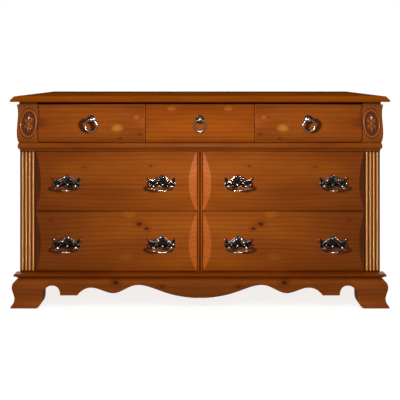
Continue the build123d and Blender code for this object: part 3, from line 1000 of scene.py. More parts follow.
@dataclass
class ReededPilaster:
    """Corner post with four half-round reeds on a sunk bed."""

    node: str
    pine: bpy.types.Material
    rows: RowTool
    reed_count: int = 4
    reed_pitch: float = 16 * MM
    reed_inset: float = 36.5 * MM
    reed_radius: float = 6.5 * MM
    reed_sides: int = 24
    dome_steps: int = 6
    dome_tip: float = 0.15
    end_margin: float = 3 * MM
    edge: float = 1.0 * MM
    # The bed's low relief makes the reeded finish paint shade into the grooves between the reeds.
    bed_relief: float = 0.12

    def build(self) -> bpy.types.Object:
        """Make the bed and its reeds and put them in place.

        Returns:
            The finished post.
        """
        low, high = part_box(self.node)
        middle = high.x - self.reed_inset if low.x > 0 else low.x + self.reed_inset
        seat_y = low.y + self.reed_radius
        stock = MeshStock()
        bed = eased_board(Vector((low.x, seat_y, low.z)), high, self.edge)
        stock.absorb(bed, self.bed_relief)
        first = middle - self.reed_pitch * (self.reed_count - 1) / 2
        stock.absorb(self.reeds(first, seat_y, low.z + self.end_margin, high.z - self.end_margin), None)
        return settle(stock.build("reeded_" + self.node, self.pine), "case", "pine", self.node)

    def reeds(self, first: float, seat_y: float, low_z: float, high_z: float) -> bpy.types.Mesh:
        """Repeat one round-ended reed across the post.

        Args:
            first: where the first reed stands.
            seat_y: depth of the reeds' middles.
            low_z: lower end.
            high_z: upper end.

        Returns:
            The mesh of all reeds.
        """
        heights, radii = [], []
        for end, way in ((low_z, 1), (high_z, -1)):
            for step in range(self.dome_steps + 1)[::way]:
                angle = math.pi / 2 * max(step, self.dome_tip) / self.dome_steps
                heights.append(end + way * self.reed_radius * (1 - math.cos(angle)))
                radii.append(self.reed_radius * math.sin(angle))
        stock = MeshStock()
        stock.tube([Vector((first, seat_y, z)) for z in heights], radii, self.reed_sides)
        reed = stock.build("reed", self.pine)
        step = (self.reed_pitch, 0.0, 0.0)
        return self.rows.run(reed, Count=self.reed_count, Step=step, Finish=self.pine)


@dataclass
class CornerBlock:
    """Ogee block over a pilaster with a carved oval rosette."""

    node: str
    pine: bpy.types.Material
    oval_half: Flat = (38.5 * MM, 66.5 * MM)
    oval_inset: float = 50 * MM
    neck_height: float = 13 * MM
    neck_inset: float = 5 * MM
    foot_height: float = 2.5 * MM
    edge: float = 0.8 * MM
    rim: float = 8 * MM
    rim_rise: float = 4.0 * MM
    petal_count: int = 6
    petal_rise: float = 3.4 * MM
    sunk: float = 1.6 * MM
    eye: float = 7.5 * MM
    columns: int = 90
    rows: int = 172
    margin: float = 2 * MM
    skin_inset: float = 0.3 * MM
    flat_relief: float = 0.82
    moat: float = 0.07
    moat_depth: float = 0.5 * MM
    moat_shade: float = 0.6
    eye_stretch: float = 1.6
    petal: Flat = (0.40, 0.80)
    sepal: Flat = (0.20, 0.66)
    sepal_share: float = 0.5
    rib: float = 0.07
    rib_cut: float = 0.35

    def build(self) -> bpy.types.Object:
        """Make the carved block and put it in place.

        Returns:
            The finished block.
        """
        low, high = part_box(self.node)
        outer, inward = (high.x, -1) if low.x > 0 else (low.x, 1)
        skin = Skin(self.node, outer + inward * self.margin)
        low_z, high_z = low.z + self.foot_height, high.z - self.neck_height
        oval_x, oval_z = outer + inward * self.oval_inset, (low_z + high_z) / 2
        stock = MeshStock()
        for row in range(self.rows + 1):
            z = low_z + (high_z - low_z) * row / self.rows
            face_y = skin.depth(min(max(z, low_z + self.skin_inset), high_z - self.skin_inset))
            for column in range(self.columns + 1):
                x = low.x + (high.x - low.x) * column / self.columns
                rise, shade = self.carving(x - oval_x, z - oval_z)
                stock.points.append((x, face_y - rise, z))
                stock.relief.append(shade)
        wide = self.columns + 1
        for row in range(self.rows):
            for column in range(self.columns):
                here = row * wide + column
                stock.faces.append((here, here + 1, here + wide + 1, here + wide))
        self.close(stock, wide, high.y)
        inside = Skin(self.node, oval_x)
        neck_y = inside.depth(high.z - self.neck_height / 2)
        foot_y = inside.depth(low.z + self.foot_height / 2)
        aside = Vector((self.neck_inset, 0.0, 0.0))
        neck = eased_board(Vector((low.x, neck_y, high_z - self.edge)) + aside, high - aside, self.edge)
        foot_top = Vector((high.x, high.y, low_z + self.edge))
        foot = eased_board(Vector((low.x, foot_y, low.z)), foot_top, self.edge / 2)
        for mesh in (neck, foot):
            stock.absorb(mesh, self.flat_relief)
        return settle(stock.build("carved_" + self.node, self.pine, 50.0), "case", "pine", self.node)

    def carving(self, x: float, z: float) -> Flat:
        """Height of the carving at a place on the block.

        Args:
            x: place across, from the oval's middle.
            z: place up, from the oval's middle.

        Returns:
            How far the wood stands out, and its relief from 0 in hollows to 1 on ridges, which the finish
            paints as shade in the hollows and as highlight on the ridges.
        """
        half_x, half_z = self.oval_half
        reach = math.hypot(x / half_x, z / half_z)
        inner = 1 - self.rim / half_x
        if reach >= 1.0:
            # Painted shade: the relief drops in a thin moat around the oval.
            near = max(0.0, 1 - (reach - 1.0) / self.moat)
            return -self.moat_depth * near, self.flat_relief - self.moat_shade * near
        if reach > inner:
            across = (reach - inner) / (1 - inner) * 2 - 1
            bead = math.sqrt(max(0.0, 1 - across * across))
            return self.rim_rise * bead, 0.25 + 0.75 * bead
        eye = 1 - (x * x + z * z / self.eye_stretch) / (self.eye * self.eye)
        if eye > 0:
            return self.petal_rise * (0.5 + 0.75 * math.sqrt(eye)), 0.4 + 0.6 * math.sqrt(eye)
        share = reach / inner
        turn = math.atan2(x / half_x, z / half_z) / (2 * math.pi) * self.petal_count
        petal = self.leaf(turn - round(turn), share, *self.petal)
        sepal = self.leaf(turn - math.floor(turn) - 0.5, share, *self.sepal) * self.sepal_share
        height = max(petal, sepal)
        return self.petal_rise * height - self.sunk * (1 - height), min(1.0, height * 1.1)

    def leaf(self, aside: float, share: float, width: float, tip: float) -> float:
        """Height of one leaf of the rosette.

        Args:
            aside: turn away from the leaf's rib, in leaf steps.
            share: distance from the middle as a share of the oval.
            width: half width of the leaf in leaf steps.
            tip: where the leaf ends.

        Returns:
            Height from 0 to 1.
        """
        if share >= tip:
            return 0.0
        body = math.sin(math.pi * (share / tip) ** 0.8) ** 0.55
        edge = 1 - (aside / (width * max(body, 0.05))) ** 2
        if edge <= 0:
            return 0.0
        rib = math.exp(-((aside / self.rib) ** 2))
        return math.sqrt(edge) * (0.45 + 0.55 * body) * (1 - self.rib_cut * rib)

    def close(self, stock: MeshStock, wide: int, back_y: float) -> None:
        """Add the block's sides and back behind its carved face.

        Args:
            stock: the mesh so far, which is the face.
            wide: number of points in a row.
            back_y: depth of the back.
        """
        last = self.rows * wide
        loop = list(range(0, wide))
        loop += [row * wide + wide - 1 for row in range(1, self.rows + 1)]
        loop += [last + column for column in range(wide - 2, -1, -1)]
        loop += [row * wide for row in range(self.rows - 1, 0, -1)]
        start = len(stock.points)
        for number in loop:
            x, _, z = stock.points[number]
            stock.points.append((x, back_y, z))
            stock.relief.append(self.flat_relief)
        count = len(loop)
        for place in range(count):
            after = (place + 1) % count
            stock.faces.append((loop[place], start + place, start + after, loop[after]))
        stock.faces.append(tuple(start + place for place in range(count)))


@dataclass(frozen=True)
class Scroll:
    """One cast scroll on a plate: its line and its thickness along it, in millimetres."""

    line: tuple[Flat, ...]
    radii: tuple[float, ...]
    lift: float = 2.6


@dataclass
class BailPull:
    """Pierced rococo plate, two posts and a hanging bail."""

    brass: bpy.types.Material
    beads: PathTool
    outline: tuple[tuple[Flat, ...], ...] = (
        ((0, 36), (14, 31), (28, 19), (44, 13)),
        ((44, 13), (52, 18), (61, 23)),
        ((61, 23), (57, 9), (62, -4)),
        ((62, -4), (53, -15), (37, -21)),
        ((37, -21), (20, -13), (0, -22)),
    )
    scrolls: tuple[Scroll, ...] = (
        Scroll(((2, 32), (14, 28.2), (27, 17.5), (43, 11.5)), (1.6, 2.4, 2.2, 1.5)),
        Scroll(((39, 10.5), (47, 13.5), (55, 17.5), (59, 20.6)), (1.3, 2.6, 2.6, 1.6)),
        Scroll(
            ((58, 18), (54, 11), (55, 4), (59, -1), (58.5, -5), (55, -5.5), (54, -2.6)),
            (1.4, 2.2, 2.4, 2.0, 1.2),
        ),
        Scroll(
            ((59, -6), (52, -13), (42, -17.6), (31, -16.4), (21, -11), (10, -14.6), (1.5, -19)),
            (1.5, 2.4, 2.2, 2.0, 1.6),
        ),
        Scroll(
            ((13.6, 3), (14.5, 10), (20, 12.6), (26, 9), (26, 2.6), (20, -0.6), (15.4, 1.2)),
            (1.2, 2.0, 2.0, 1.6, 1.0),
        ),
        Scroll(((4, -3), (7, -10), (2, -19)), (1.2, 2.0, 1.0)),
        Scroll(((27, 13), (35, 9.5), (43, 4), (48, -3), (47, -7.5), (43.6, -7)), (1.2, 2.6, 2.4, 1.8, 1.0)),
        Scroll(((30, 6), (33, 1), (32, -5), (28, -8)), (1.0, 2.2, 2.0, 1.0)),
    )
    ribs: tuple[Scroll, ...] = (
        Scroll(((0, -7), (0, 8), (0, 26)), (1.2, 2.0, 3.0), 2.8),
        Scroll(((2.2, -7), (5.2, 8), (8.6, 24)), (1.1, 1.8, 2.8), 2.6),
        Scroll(((4.4, -6), (9.4, 5), (15.6, 19)), (1.0, 1.6, 2.5), 2.4),
        Scroll(((0, -4), (0, -12), (0, -20)), (2.2, 3.2, 1.4)),
    )
    crowns: tuple[tuple[tuple[Flat, ...], int, float, float], ...] = (
        (((5, 31.5), (14, 28.2), (24, 20.5), (34, 14.5)), 6, 2.3, 3.4),
        (((4, 25), (12, 21.5), (21, 13.8), (31, 8.8)), 7, 1.6, 3.2),
    )
    domes: tuple[Point, ...] = (
        (60, 22, 3.6), (60, -3.5, 3.2), (41, 8, 2.4), (48.5, 0, 2.4), (28.5, 13.5, 2.2), (28, -3, 2.4)
    )
    dome_foot: float = 1.8
    dome_stretch: float = 1.1
    dome_turn: float = 0.3
    dome_steps: int = 5
    boss_z: float = -8.0
    boss: tuple[Flat, ...] = ((5.2, 1.8), (5.2, 3.0), (4.4, 4.2), (2.6, 5.4), (0.5, 5.9))
    flange: tuple[Flat, ...] = ((7.4, 1.6), (7.4, 3.0), (6.2, 4.2), (5.0, 4.8))
    neck_reach: Flat = (5.6, 6.8)
    turnings: tuple[Point, ...] = ((0, 3.0, 1.6), (9.5, 2.2, 1.0), (16.5, 1.8, 1.1))
    turned_below: float = -15.0
    swell: Point = (40.0, 6.0, 0.8)
    swell_below: float = -6.0
    piercing: Flat = (20, 6)
    piercing_radius: float = 4.0
    piercing_steps: int = 16
    plate_seat: float = 0.2
    plate_thickness: float = 1.8
    plate_ease: float = 0.5
    plate_cuts: range = range(-18, 36, 6)
    plate_relief: float = 0.12
    bead_relief: float = 0.95
    post_x: float = 39.0
    post_z: float = -11.5
    pivot_reach: float = 12.1
    ball: float = 6.2
    neck: float = 4.2
    bail_corners: tuple[Flat, ...] = ((29.8, 0), (52.5, 0), (44.5, -12), (15, -20))
    bail_bends: tuple[float, ...] = (4.5, 14.0, 40.0)
    rod: float = 3.2
    bail_step: float = 0.8
    turned_half: float = 18.0
    scroll_polish: float = 0.68

    def plate_mesh(self) -> bpy.types.Mesh:
        """Fill the plate's outline and its piercings to a thin eased plate.

        Returns:
            The mesh, in millimetres, lying flat.
        """
        half: list[Flat] = []
        for stretch in self.outline:
            half.extend(smooth_path(stretch, 8)[:-1])
        ring = half + [(-x, z) for x, z in reversed(half[1:])]
        turns = [math.tau * k / self.piercing_steps for k in range(self.piercing_steps)]
        across, up = self.piercing
        radius = self.piercing_radius
        circles = [
            [(side * across + radius * math.cos(turn), up + radius * math.sin(turn)) for turn in turns]
            for side in (-1, 1)
        ]
        curve = bpy.data.curves.new("plate_outline", "CURVE")
        curve.dimensions = "2D"
        curve.fill_mode = "BOTH"
        curve.extrude = self.plate_thickness / 2 - self.plate_ease
        curve.bevel_depth = self.plate_ease
        curve.bevel_resolution = 1
        curve.offset = -self.plate_ease
        for points in [ring, *circles]:
            spline = curve.splines.new("POLY")
            spline.points.add(len(points) - 1)
            for place, (x, z) in zip(spline.points, points):
                place.co = (x, z, 0.0, 1.0)
            spline.use_cyclic_u = True
        holder = bpy.data.objects.new("plate_outline", curve)
        bpy.context.scene.collection.objects.link(holder)
        mesh = plain_mesh(holder)
        work = bmesh.new()
        work.from_mesh(mesh)
        bmesh.ops.remove_doubles(work, verts=work.verts, dist=1e-3)
        for height in self.plate_cuts:
            geometry = work.verts[:] + work.edges[:] + work.faces[:]
            bmesh.ops.bisect_plane(work, geom=geometry, plane_co=(0, height, 0), plane_no=(0, 1, 0))
        work.to_mesh(mesh)
        work.free()
        return mesh

    def casting(self) -> MeshStock:
        """Make one plate with its scrolls, shell, beads and posts about its middle.

        Returns:
            The stock, whose depth is measured from the drawer's face.
        """
        stock = MeshStock()
        seat = self.plate_seat + self.plate_thickness / 2
        stock.absorb(
            self.plate_mesh(), self.plate_relief, lambda p: (p.x * MM, -(p.z + seat) * MM, p.y * MM)
        )
        plain = len(stock.relief)
        for scroll in self.scrolls + self.ribs:
            line = smooth_path(scroll.line)
            radii = [r * MM for r in spread(scroll.radii, len(line))]
            for side in (-1, 1) if scroll.line[0][0] else (1,):
                stock.tube([Vector((side * x, -scroll.lift, z)) * MM for x, z in line], radii, 8)
        stock.relief[plain:] = [value * self.scroll_polish for value in stock.relief[plain:]]
        for side in (-1, 1):
            for line, count, radius, lift in self.crowns:
                string = [(side * x * MM, -lift * MM, z * MM) for x, z in smooth_path(line)]
                stock.absorb(self.beads.along(string, count, radius * MM, self.brass), self.bead_relief)
            for x, z, radius in self.domes:
                stock.lathe(Vector((side * x, 0, z)) * MM, self.dome_profile(radius), 12, level)
            stock.lathe(Vector((side * self.post_x, 0, self.post_z)) * MM, self.post_profile(), 20, level)
        stock.lathe(Vector((0, 0, self.boss_z)) * MM, self.boss, 16, level)
        return stock

    def dome_profile(self, radius: float) -> list[Flat]:
        """Profile of a round stud.

        Args:
            radius: its radius in millimetres.

        Returns:
            Radius and forward reach in millimetres.
        """
        turns = [step * self.dome_turn for step in range(self.dome_steps)]
        rise = radius * self.dome_stretch
        return [(radius * math.cos(turn), self.dome_foot + rise * math.sin(turn)) for turn in turns]

    def post_profile(self) -> list[Flat]:
        """Profile of a post, from its flange to the end of its ball.

        Returns:
            Radius and forward reach in millimetres.
        """
        neck = [(self.neck, reach) for reach in self.neck_reach]
        start = math.asin(self.neck / self.ball) - math.pi / 2
        turns = spread((start, math.pi / 2 - 0.08), 10)
        ball = [(self.ball * math.cos(t), self.pivot_reach + self.ball * math.sin(t)) for t in turns]
        return [*self.flange, *neck, *ball]

    def bail(self, x: float, pivot_y: float, pivot_z: float) -> MeshStock:
        """Make a hanging bail with a turned middle.

        Args:
            x: middle of the pull.
            pivot_y: depth of the pins.
            pivot_z: height of the pins.

        Returns:
            The stock in its place.
        """
        route = [(-a, d) for a, d in self.bail_corners] + list(reversed(self.bail_corners))
        line = rounded_route(route, self.bail_bends + self.bail_bends[::-1], 9)
        dense: list[Flat] = []
        for (a, d), (b, e) in zip(line, line[1:]):
            steps = max(1, round(math.dist((a, d), (b, e)) / self.bail_step))
            dense.extend((a + (b - a) * k / steps, d + (e - d) * k / steps) for k in range(steps))
        dense.append(line[-1])
        path = [Vector((x + a * MM, pivot_y, pivot_z + d * MM)) for a, d in dense]
        stock = MeshStock()
        stock.tube(path, [self.thickness(a, d) * MM for a, d in dense], 14)
        stock.relief = [
            value if abs(point[0] - x) < self.turned_half * MM else value * self.scroll_polish
            for value, point in zip(stock.relief, stock.points)
        ]
        return stock

    def thickness(self, along: float, down: float) -> float:
        """Radius of the bail at a place on its line.

        Args:
            along: place across from the pull's middle, in millimetres.
            down: place below the pins, in millimetres.

        Returns:
            The radius in millimetres.
        """
        rounds = [self.swell] if down < self.swell_below else []
        if down < self.turned_below:
            rounds.extend(self.turnings)
        return self.rod + sum(
            rise * math.exp(-(((abs(along) - at) / wide) ** 2)) for at, wide, rise in rounds
        )


@dataclass
class RingPull:
    """Round plate, knob and hanging ring."""

    brass: bpy.types.Material
    beads: PathTool
    ring: float = 26.5
    rod: float = 4.4
    knob: float = 9.8
    knob_depth: float = 7.4
    knob_turns: Flat = (-1.0, math.pi / 2 - 0.06)
    disc: tuple[Flat, ...] = (
        (19, 0.2), (19, 1.2), (18.4, 2.0), (17, 2.4), (16, 2.2), (15, 3.0), (12, 4.6), (8.5, 5.6), (6.4, 5.9)
    )
    neck: tuple[Flat, ...] = ((8, 3.0), (8, 4.4), (6.2, 5.4), (5.2, 6.6))
    plate_beads: int = 26
    bead: float = 1.0
    bead_ring: float = 17.0
    bead_lift: float = 2.2
    bead_relief: float = 0.9
    hoop_steps: int = 72

    def mount(self, x: float, pivot_y: float, z: float, skin: Skin) -> MeshStock:
        """Make the plate with its beads and the knob that carries the ring.

        Args:
            x: middle of the pull.
            pivot_y: depth of the ring.
            z: height of the pull.
            skin: the drawer's face.

        Returns:
            The stock in its place.
        """
        stock = MeshStock()
        centre = Vector((x, 0, z))
        stock.lathe(centre, self.disc, 48, skin.depth)
        seat = skin.depth(z)
        lay = skin.lay(x, z)
        around = (math.tau * k / 64 for k in range(65))
        spokes = [(self.bead_ring * MM * math.cos(t), self.bead_ring * MM * math.sin(t)) for t in around]
        ring = [lay((across, -self.bead_lift * MM, up)) for across, up in spokes]
        beads = self.beads.along(ring, self.plate_beads, self.bead * MM, self.brass)
        stock.absorb(beads, self.bead_relief)
        reach = (seat - pivot_y) / MM
        turns = spread(self.knob_turns, 12)
        cap = [(self.knob * math.cos(t), reach + self.knob_depth * math.sin(t)) for t in turns]
        stock.lathe(centre, [*self.neck, *cap], 32, lambda height: seat)
        return stock

    def hoop(self, x: float, pivot_y: float, pivot_z: float) -> MeshStock:
        """Make the hanging ring.

        Args:
            x: middle of the pull.
            pivot_y: depth of the ring.
            pivot_z: height of the top of the ring's centre line.

        Returns:
            The stock in its place.
        """
        stock = MeshStock()
        radius = self.ring * MM
        turns = [math.tau * k / self.hoop_steps for k in range(self.hoop_steps)]
        path = [
            Vector((x + radius * math.sin(t), pivot_y, pivot_z - radius * (1 - math.cos(t)))) for t in turns
        ]
        stock.tube(path, [self.rod * MM] * len(path), 16, closed=True)
        return stock


class Row(Enum):
    """The kinds of drawer: small over the waist, large below it."""

    SMALL = "small"
    LARGE = "large"


@dataclass
class Drawer:
    """One drawer with its shaped front, its box and its pulls."""

    name: str
    row: Row
    front_pine: bpy.types.Material
    inner_wood: tuple[bpy.types.Material, bpy.types.Material]
    bail_pull: BailPull
    ring_pull: RingPull
    edge: float = 1.1 * MM
    skin_aside: float = 40 * MM

    def build(self) -> None:
        """Make the front and the pulls and dress the box."""
        body = self.name + "_drawer"
        front = eased_copy(self.name + "_front", self.edge, self.front_pine)
        settle(front, body, "pine", self.name + "_front")
        dress_node(self.name + "_box", self.inner_wood[0])
        dress_node(self.name + "_bottom", self.inner_wood[1])
        if self.row is Row.SMALL:
            self.hang_ring(body)
        else:
            self.hang_bails(body)

    def hang_ring(self, body: str) -> None:
        """Fit the ring pull.

        Args:
            body: the drawer's body.
        """
        low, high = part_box(self.name + "_ring")
        middle = (low + high) / 2
        skin = Skin(self.name + "_front", middle.x + self.skin_aside)
        pull = self.ring_pull
        pivot_z = middle.z + pull.ring * MM
        mount = pull.mount(middle.x, middle.y, pivot_z, skin).build("knob_" + self.name, pull.brass)
        settle(mount, body, "antique_brass", self.name + "_pull_mount")
        hoop = pull.hoop(middle.x, middle.y, pivot_z).build("ring_" + self.name, pull.brass)
        settle(hoop, self.name + "_ring", "antique_brass", self.name + "_ring")

    def hang_bails(self, body: str) -> None:
        """Fit the two bail pulls.

        Args:
            body: the drawer's body.
        """
        pull = self.bail_pull
        casting = pull.casting()
        plates = MeshStock()
        for side in ("left", "right"):
            node = f"{self.name}_{side}_bail"
            low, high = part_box(node)
            x, y = (low.x + high.x) / 2, (low.y + high.y) / 2
            pivot_z = high.z - pull.rod * MM
            middle_z = pivot_z - pull.post_z * MM
            plates.copy_from(casting, Skin(self.name + "_front", x).lay(x, middle_z))
            bail = pull.bail(x, y, pivot_z).build("bail_" + self.name + "_" + side, pull.brass)
            settle(bail, node, "antique_brass", node)
        mounts = plates.build("plates_" + self.name, pull.brass)
        settle(mounts, body, "antique_brass", self.name + "_pull_mounts")


@dataclass(frozen=True)
class BoardPlan:
    """How one board of the case is dressed: its solid, its finish and its edge rounding."""

    node: str
    finish: str
    edge: float = 1.0 * MM
    slot: str = "pine"


@dataclass
class CaseBody:
    """The standing case: top, ends, mouldings, apron and feet."""

    finishes: dict[str, bpy.types.Material]
    rows: RowTool
    groove_half: float = 2.9 * MM
    boards: tuple[BoardPlan, ...] = (
        BoardPlan("top_board", "pine_top", 1.4 * MM),
        BoardPlan("left_side_panel", "pine_end"),
        BoardPlan("right_side_panel", "pine_end"),
        BoardPlan("waist_moulding", "pine_moulding"),
        BoardPlan("centre_stile", "pine_stile", 0.8 * MM),
        BoardPlan("base_moulding", "pine_moulding"),
        BoardPlan("front_apron", "pine_apron", 1.2 * MM),
        BoardPlan("side_aprons", "pine_side", 1.2 * MM),
        BoardPlan("top_rail", "pine_moulding", 0.8 * MM),
        BoardPlan("back_panel", "back_board", 0.8 * MM, "back_board"),
        BoardPlan("rear_feet", "inner_wide", 0.8 * MM, "inner_wood"),
    )
    kept: tuple[tuple[str, str], ...] = (
        ("bottom_board", "case_flat"),
        ("partitions", "case_side"),
        ("dust_panels", "case_flat"),
        ("waist_shelf", "case_flat"),
        ("glue_blocks", "inner_wide"),
        ("drawer_guides", "inner_side"),
    )

    def build(self) -> None:
        """Make every board of the case and put it in place."""
        for plan in self.boards:
            piece = eased_copy(plan.node, plan.edge, self.finishes[plan.finish])
            if plan.node == "centre_stile":
                self.mark_groove(piece.data)
            settle(piece, "case", plan.slot, plan.node)
        for node, finish in self.kept:
            dress_node(node, self.finishes[finish])
        for side in ("left", "right"):
            ReededPilaster(side + "_pilaster", self.finishes["pine_reeded"], self.rows).build()
            CornerBlock(side + "_corner_block", self.finishes["pine_carved"]).build()

    def mark_groove(self, mesh: bpy.types.Mesh) -> None:
        """Store the relief of the stile's groove, so that its finish paints shade into the groove.

        Args:
            mesh: the stile's mesh.
        """
        store = mesh.attributes.new("relief", "FLOAT", "POINT")
        for vert, entry in zip(mesh.vertices, store.data):
            entry.value = 0.0 if abs(vert.co.x) < self.groove_half else 1.0


@dataclass(frozen=True)
class LampPlan:
    """A soft lamp for the right half: its place, where it points, the width of its face and its power."""

    place: Point
    target: Point
    size: float
    power: float

    def turned(self, side: int) -> "LampPlan":
        """Make the plan for a half of the dresser.

        Args:
            side: -1 for the left half, 1 for the right half, 0 for a lamp in the middle.

        Returns:
            The plan for that half.
        """
        place, target = ((side * spot[0], *spot[1:]) for spot in (self.place, self.target))
        return LampPlan(place, target, self.size, self.power)


@dataclass(frozen=True)
class LightZone:
    """Pieces that share a key lamp: words in their names, its place and power, and if it shows as sheen."""

    name: str
    words: tuple[str, ...]
    lamp: Point
    power: float
    sheen: bool = True


SIDE_KEY: Point = (-6.0, -3.0, 1.9)
FRONT_KEY: Point = (0.0, -3.2, 1.9)
POST_KEY: Point = (-2.6, -3.6, 2.0)


@dataclass
class Studio:
    """Pale floor, soft lamps and the camera."""

    camera_place: Point = (0.0, -1.9325, 1.040)
    lens: float = 34.47
    sensor: float = 36.0
    shift: float = -0.316
    floor_half: float = 30.0
    sky: float = 0.16
    key_size: float = 0.6
    key_target: Point = (0.4, -0.2, 0.55)
    reed_glint: LampPlan = LampPlan((-1.0, -3.2, -0.6), (0.78, -0.2, -0.6), 0.7, 260.0)
    glint_height: float = 3.2
    glint_tint: Point = (1.0, 0.8, 0.5)
    pull_glint: LampPlan = LampPlan((-1.2, -3.0, 2.0), (0.4, -0.2, 0.6), 0.25, 260.0)
    overhead: LampPlan = LampPlan((0.0, -0.6, 3.2), (0.0, -0.1, 0.5), 2.4, 6.0)
    rear: LampPlan = LampPlan((3.2, 2.6, 1.8), (0.0, 0.1, 0.5), 2.0, 70.0)
    wash: float = 3.2
    wash_angle: float = math.radians(50.0)
    shadow_share: float = 0.1
    view_reach: float = 200.0
    zones: tuple[LightZone, ...] = (
        LightZone("posts", ("pilaster", "corner_block"), POST_KEY, 150.0),
        LightZone("low_drawers", ("lower_",), SIDE_KEY, 420.0),
        LightZone("high_drawers", ("upper_",), SIDE_KEY, 530.0),
        LightZone("small_drawers", ("small_left", "small_right"), SIDE_KEY, 740.0),
        LightZone("middle_pull", ("knob_", "ring_"), FRONT_KEY, 66.0),
        LightZone("top", ("top_board",), FRONT_KEY, 46.0, False),
        LightZone("middle", ("small_middle", "centre_stile"), FRONT_KEY, 72.0, False),
        LightZone("base", ("base_moulding",), FRONT_KEY, 16.0, False),
        LightZone("across", ("",), FRONT_KEY, 38.0),
    )
    taken: set[str] = field(default_factory=set)

    def build(self) -> None:
        """Set up the lamps, the floor, the sky and the camera."""
        behind = self.gather("behind", ("",), 0, ("top_board",))
        for zone in self.zones:
            key = LampPlan(zone.lamp, self.key_target, self.key_size, zone.power)
            for side in (-1, 1) if zone.lamp[0] else (0,):
                name = f"{zone.name}_key_{side + 1}"
                lit = self.gather(name, zone.words, side, tuple(self.taken))
                self.taken.update(piece.name for piece in lit.objects)
                self.lamp(name, key.turned(side), lit).visible_glossy = zone.sheen
        for side in (-1, 1):
            reeds = self.gather(f"reeds_{side + 1}", ("pilaster",), side, ())
            self.glint(f"reed_glint_{side + 1}", self.reed_glint.turned(side), reeds)
            words = ("plates_", "bail_", "knob_", "ring_")
            pulls = self.gather(f"pulls_{side + 1}", words, side, ("middle",))
            self.lamp(f"pull_glint_{side + 1}", self.pull_glint.turned(side), pulls)
        self.lamp("overhead", self.overhead)
        for name, side in (("left_rear", -1), ("right_rear", 1)):
            self.lamp(name, self.rear.turned(side), behind)
        self.floor()
        self.background()
        self.camera()
        bpy.context.scene.view_settings.view_transform = "Standard"

    def gather(
        self, name: str, words: tuple[str, ...], side: int, without: tuple[str, ...]
    ) -> bpy.types.Collection:
        """Collect visible pieces for a lamp.

        Args:
            name: the collection's name.
            words: a piece is taken if its name holds one of them.
            side: -1 for the left half, 1 for the right half, 0 for both.
            without: parts of the names of pieces that are left out.

        Returns:
            The collection.
        """
        lit = bpy.data.collections.new(name)
        for piece in bpy.context.scene.objects:
            middle = sum(corner[0] for corner in piece.bound_box)
            wanted = any(word in piece.name for word in words)
            left_out = piece.hide_render or any(word in piece.name for word in without)
            if piece.type == "MESH" and wanted and not left_out and middle * side >= 0:
                lit.objects.link(piece)
        return lit

    def floor(self) -> None:
        """Lay the floor under the feet, with an even wash of its own that does not bounce."""
        half = self.floor_half
        stock = MeshStock()
        stock.points = [(-half, -half, 0.0), (half, -half, 0.0), (half, half, 0.0), (-half, half, 0.0)]
        stock.faces = [(0, 1, 2, 3)]
        stock.relief = [0.0] * 4
        floor = stock.build("studio_floor", FloorFinish("pale_floor").material())
        floor.visible_diffuse = False
        floor.visible_glossy = False
        floor.visible_shadow = False
        ground = bpy.data.collections.new("ground")
        ground.objects.link(floor)
        for name, share, shadow in (
            ("floor_wash", 1 - self.shadow_share, False),
            ("floor_shade", self.shadow_share, True),
        ):
            wash = bpy.data.objects.new(name, bpy.data.lights.new(name, "SUN"))
            wash.data.energy = self.wash * share
            wash.data.angle = self.wash_angle
            wash.data.use_shadow = shadow
            wash.light_linking.receiver_collection = ground
            bpy.context.scene.collection.objects.link(wash)

    def lamp(self, name: str, plan: LampPlan, lit: bpy.types.Collection | None = None) -> bpy.types.Object:
        """Hang a soft lamp.

        Args:
            name: the lamp's name.
            plan: its place, size and power.
            lit: the pieces that it lights, or everything.

        Returns:
            The lamp.
        """
        light = bpy.data.lights.new(name, "AREA")
        light.size = plan.size
        light.energy = plan.power
        lamp = bpy.data.objects.new(name, light)
        lamp.location = plan.place
        heading = Vector(plan.target) - Vector(plan.place)
        lamp.rotation_euler = heading.to_track_quat("-Z", "Y").to_euler()
        lamp.visible_camera = False
        if lit is not None:
            lamp.light_linking.receiver_collection = lit
        bpy.context.scene.collection.objects.link(lamp)
        return lamp

    def glint(self, name: str, plan: LampPlan, lit: bpy.types.Collection) -> None:
        """Hang a tall lamp that only shows as a bright line on polished rounds.

        Args:
            name: the lamp's name.
            plan: its place, width and power.
            lit: the pieces that it lights.
        """
        strip = self.lamp(name, plan, lit)
        strip.data.color = self.glint_tint
        strip.data.shape = "RECTANGLE"
        strip.data.size_y = self.glint_height
        strip.visible_diffuse = False

    def background(self) -> None:
        """Fill the room with even white light."""
        world = bpy.data.worlds.new("white_room")
        world.use_nodes = True
        sheet = NodeSheet(world.node_tree)
        seen = sheet.add("ShaderNodeLightPath", None, None, "Is Camera Ray")
        strength = seen * (1.0 - self.sky) + self.sky
        sky = sheet.add("ShaderNodeBackground", None, {"Color": (1.0, 1.0, 1.0, 1.0), "Strength": strength})
        sheet.add("ShaderNodeOutputWorld", None, {"Surface": sky})
        bpy.context.scene.world = world

    def camera(self) -> None:
        """Set the camera level in front of the middle, a little above the top."""
        view = bpy.data.cameras.new("front_view")
        view.lens = self.lens
        view.sensor_width = self.sensor
        view.sensor_fit = "HORIZONTAL"
        view.shift_y = self.shift
        view.clip_end = self.view_reach
        camera = bpy.data.objects.new("front_view", view)
        camera.location = self.camera_place
        camera.rotation_euler = (math.pi / 2, 0.0, 0.0)
        bpy.context.scene.collection.objects.link(camera)
        bpy.context.scene.camera = camera


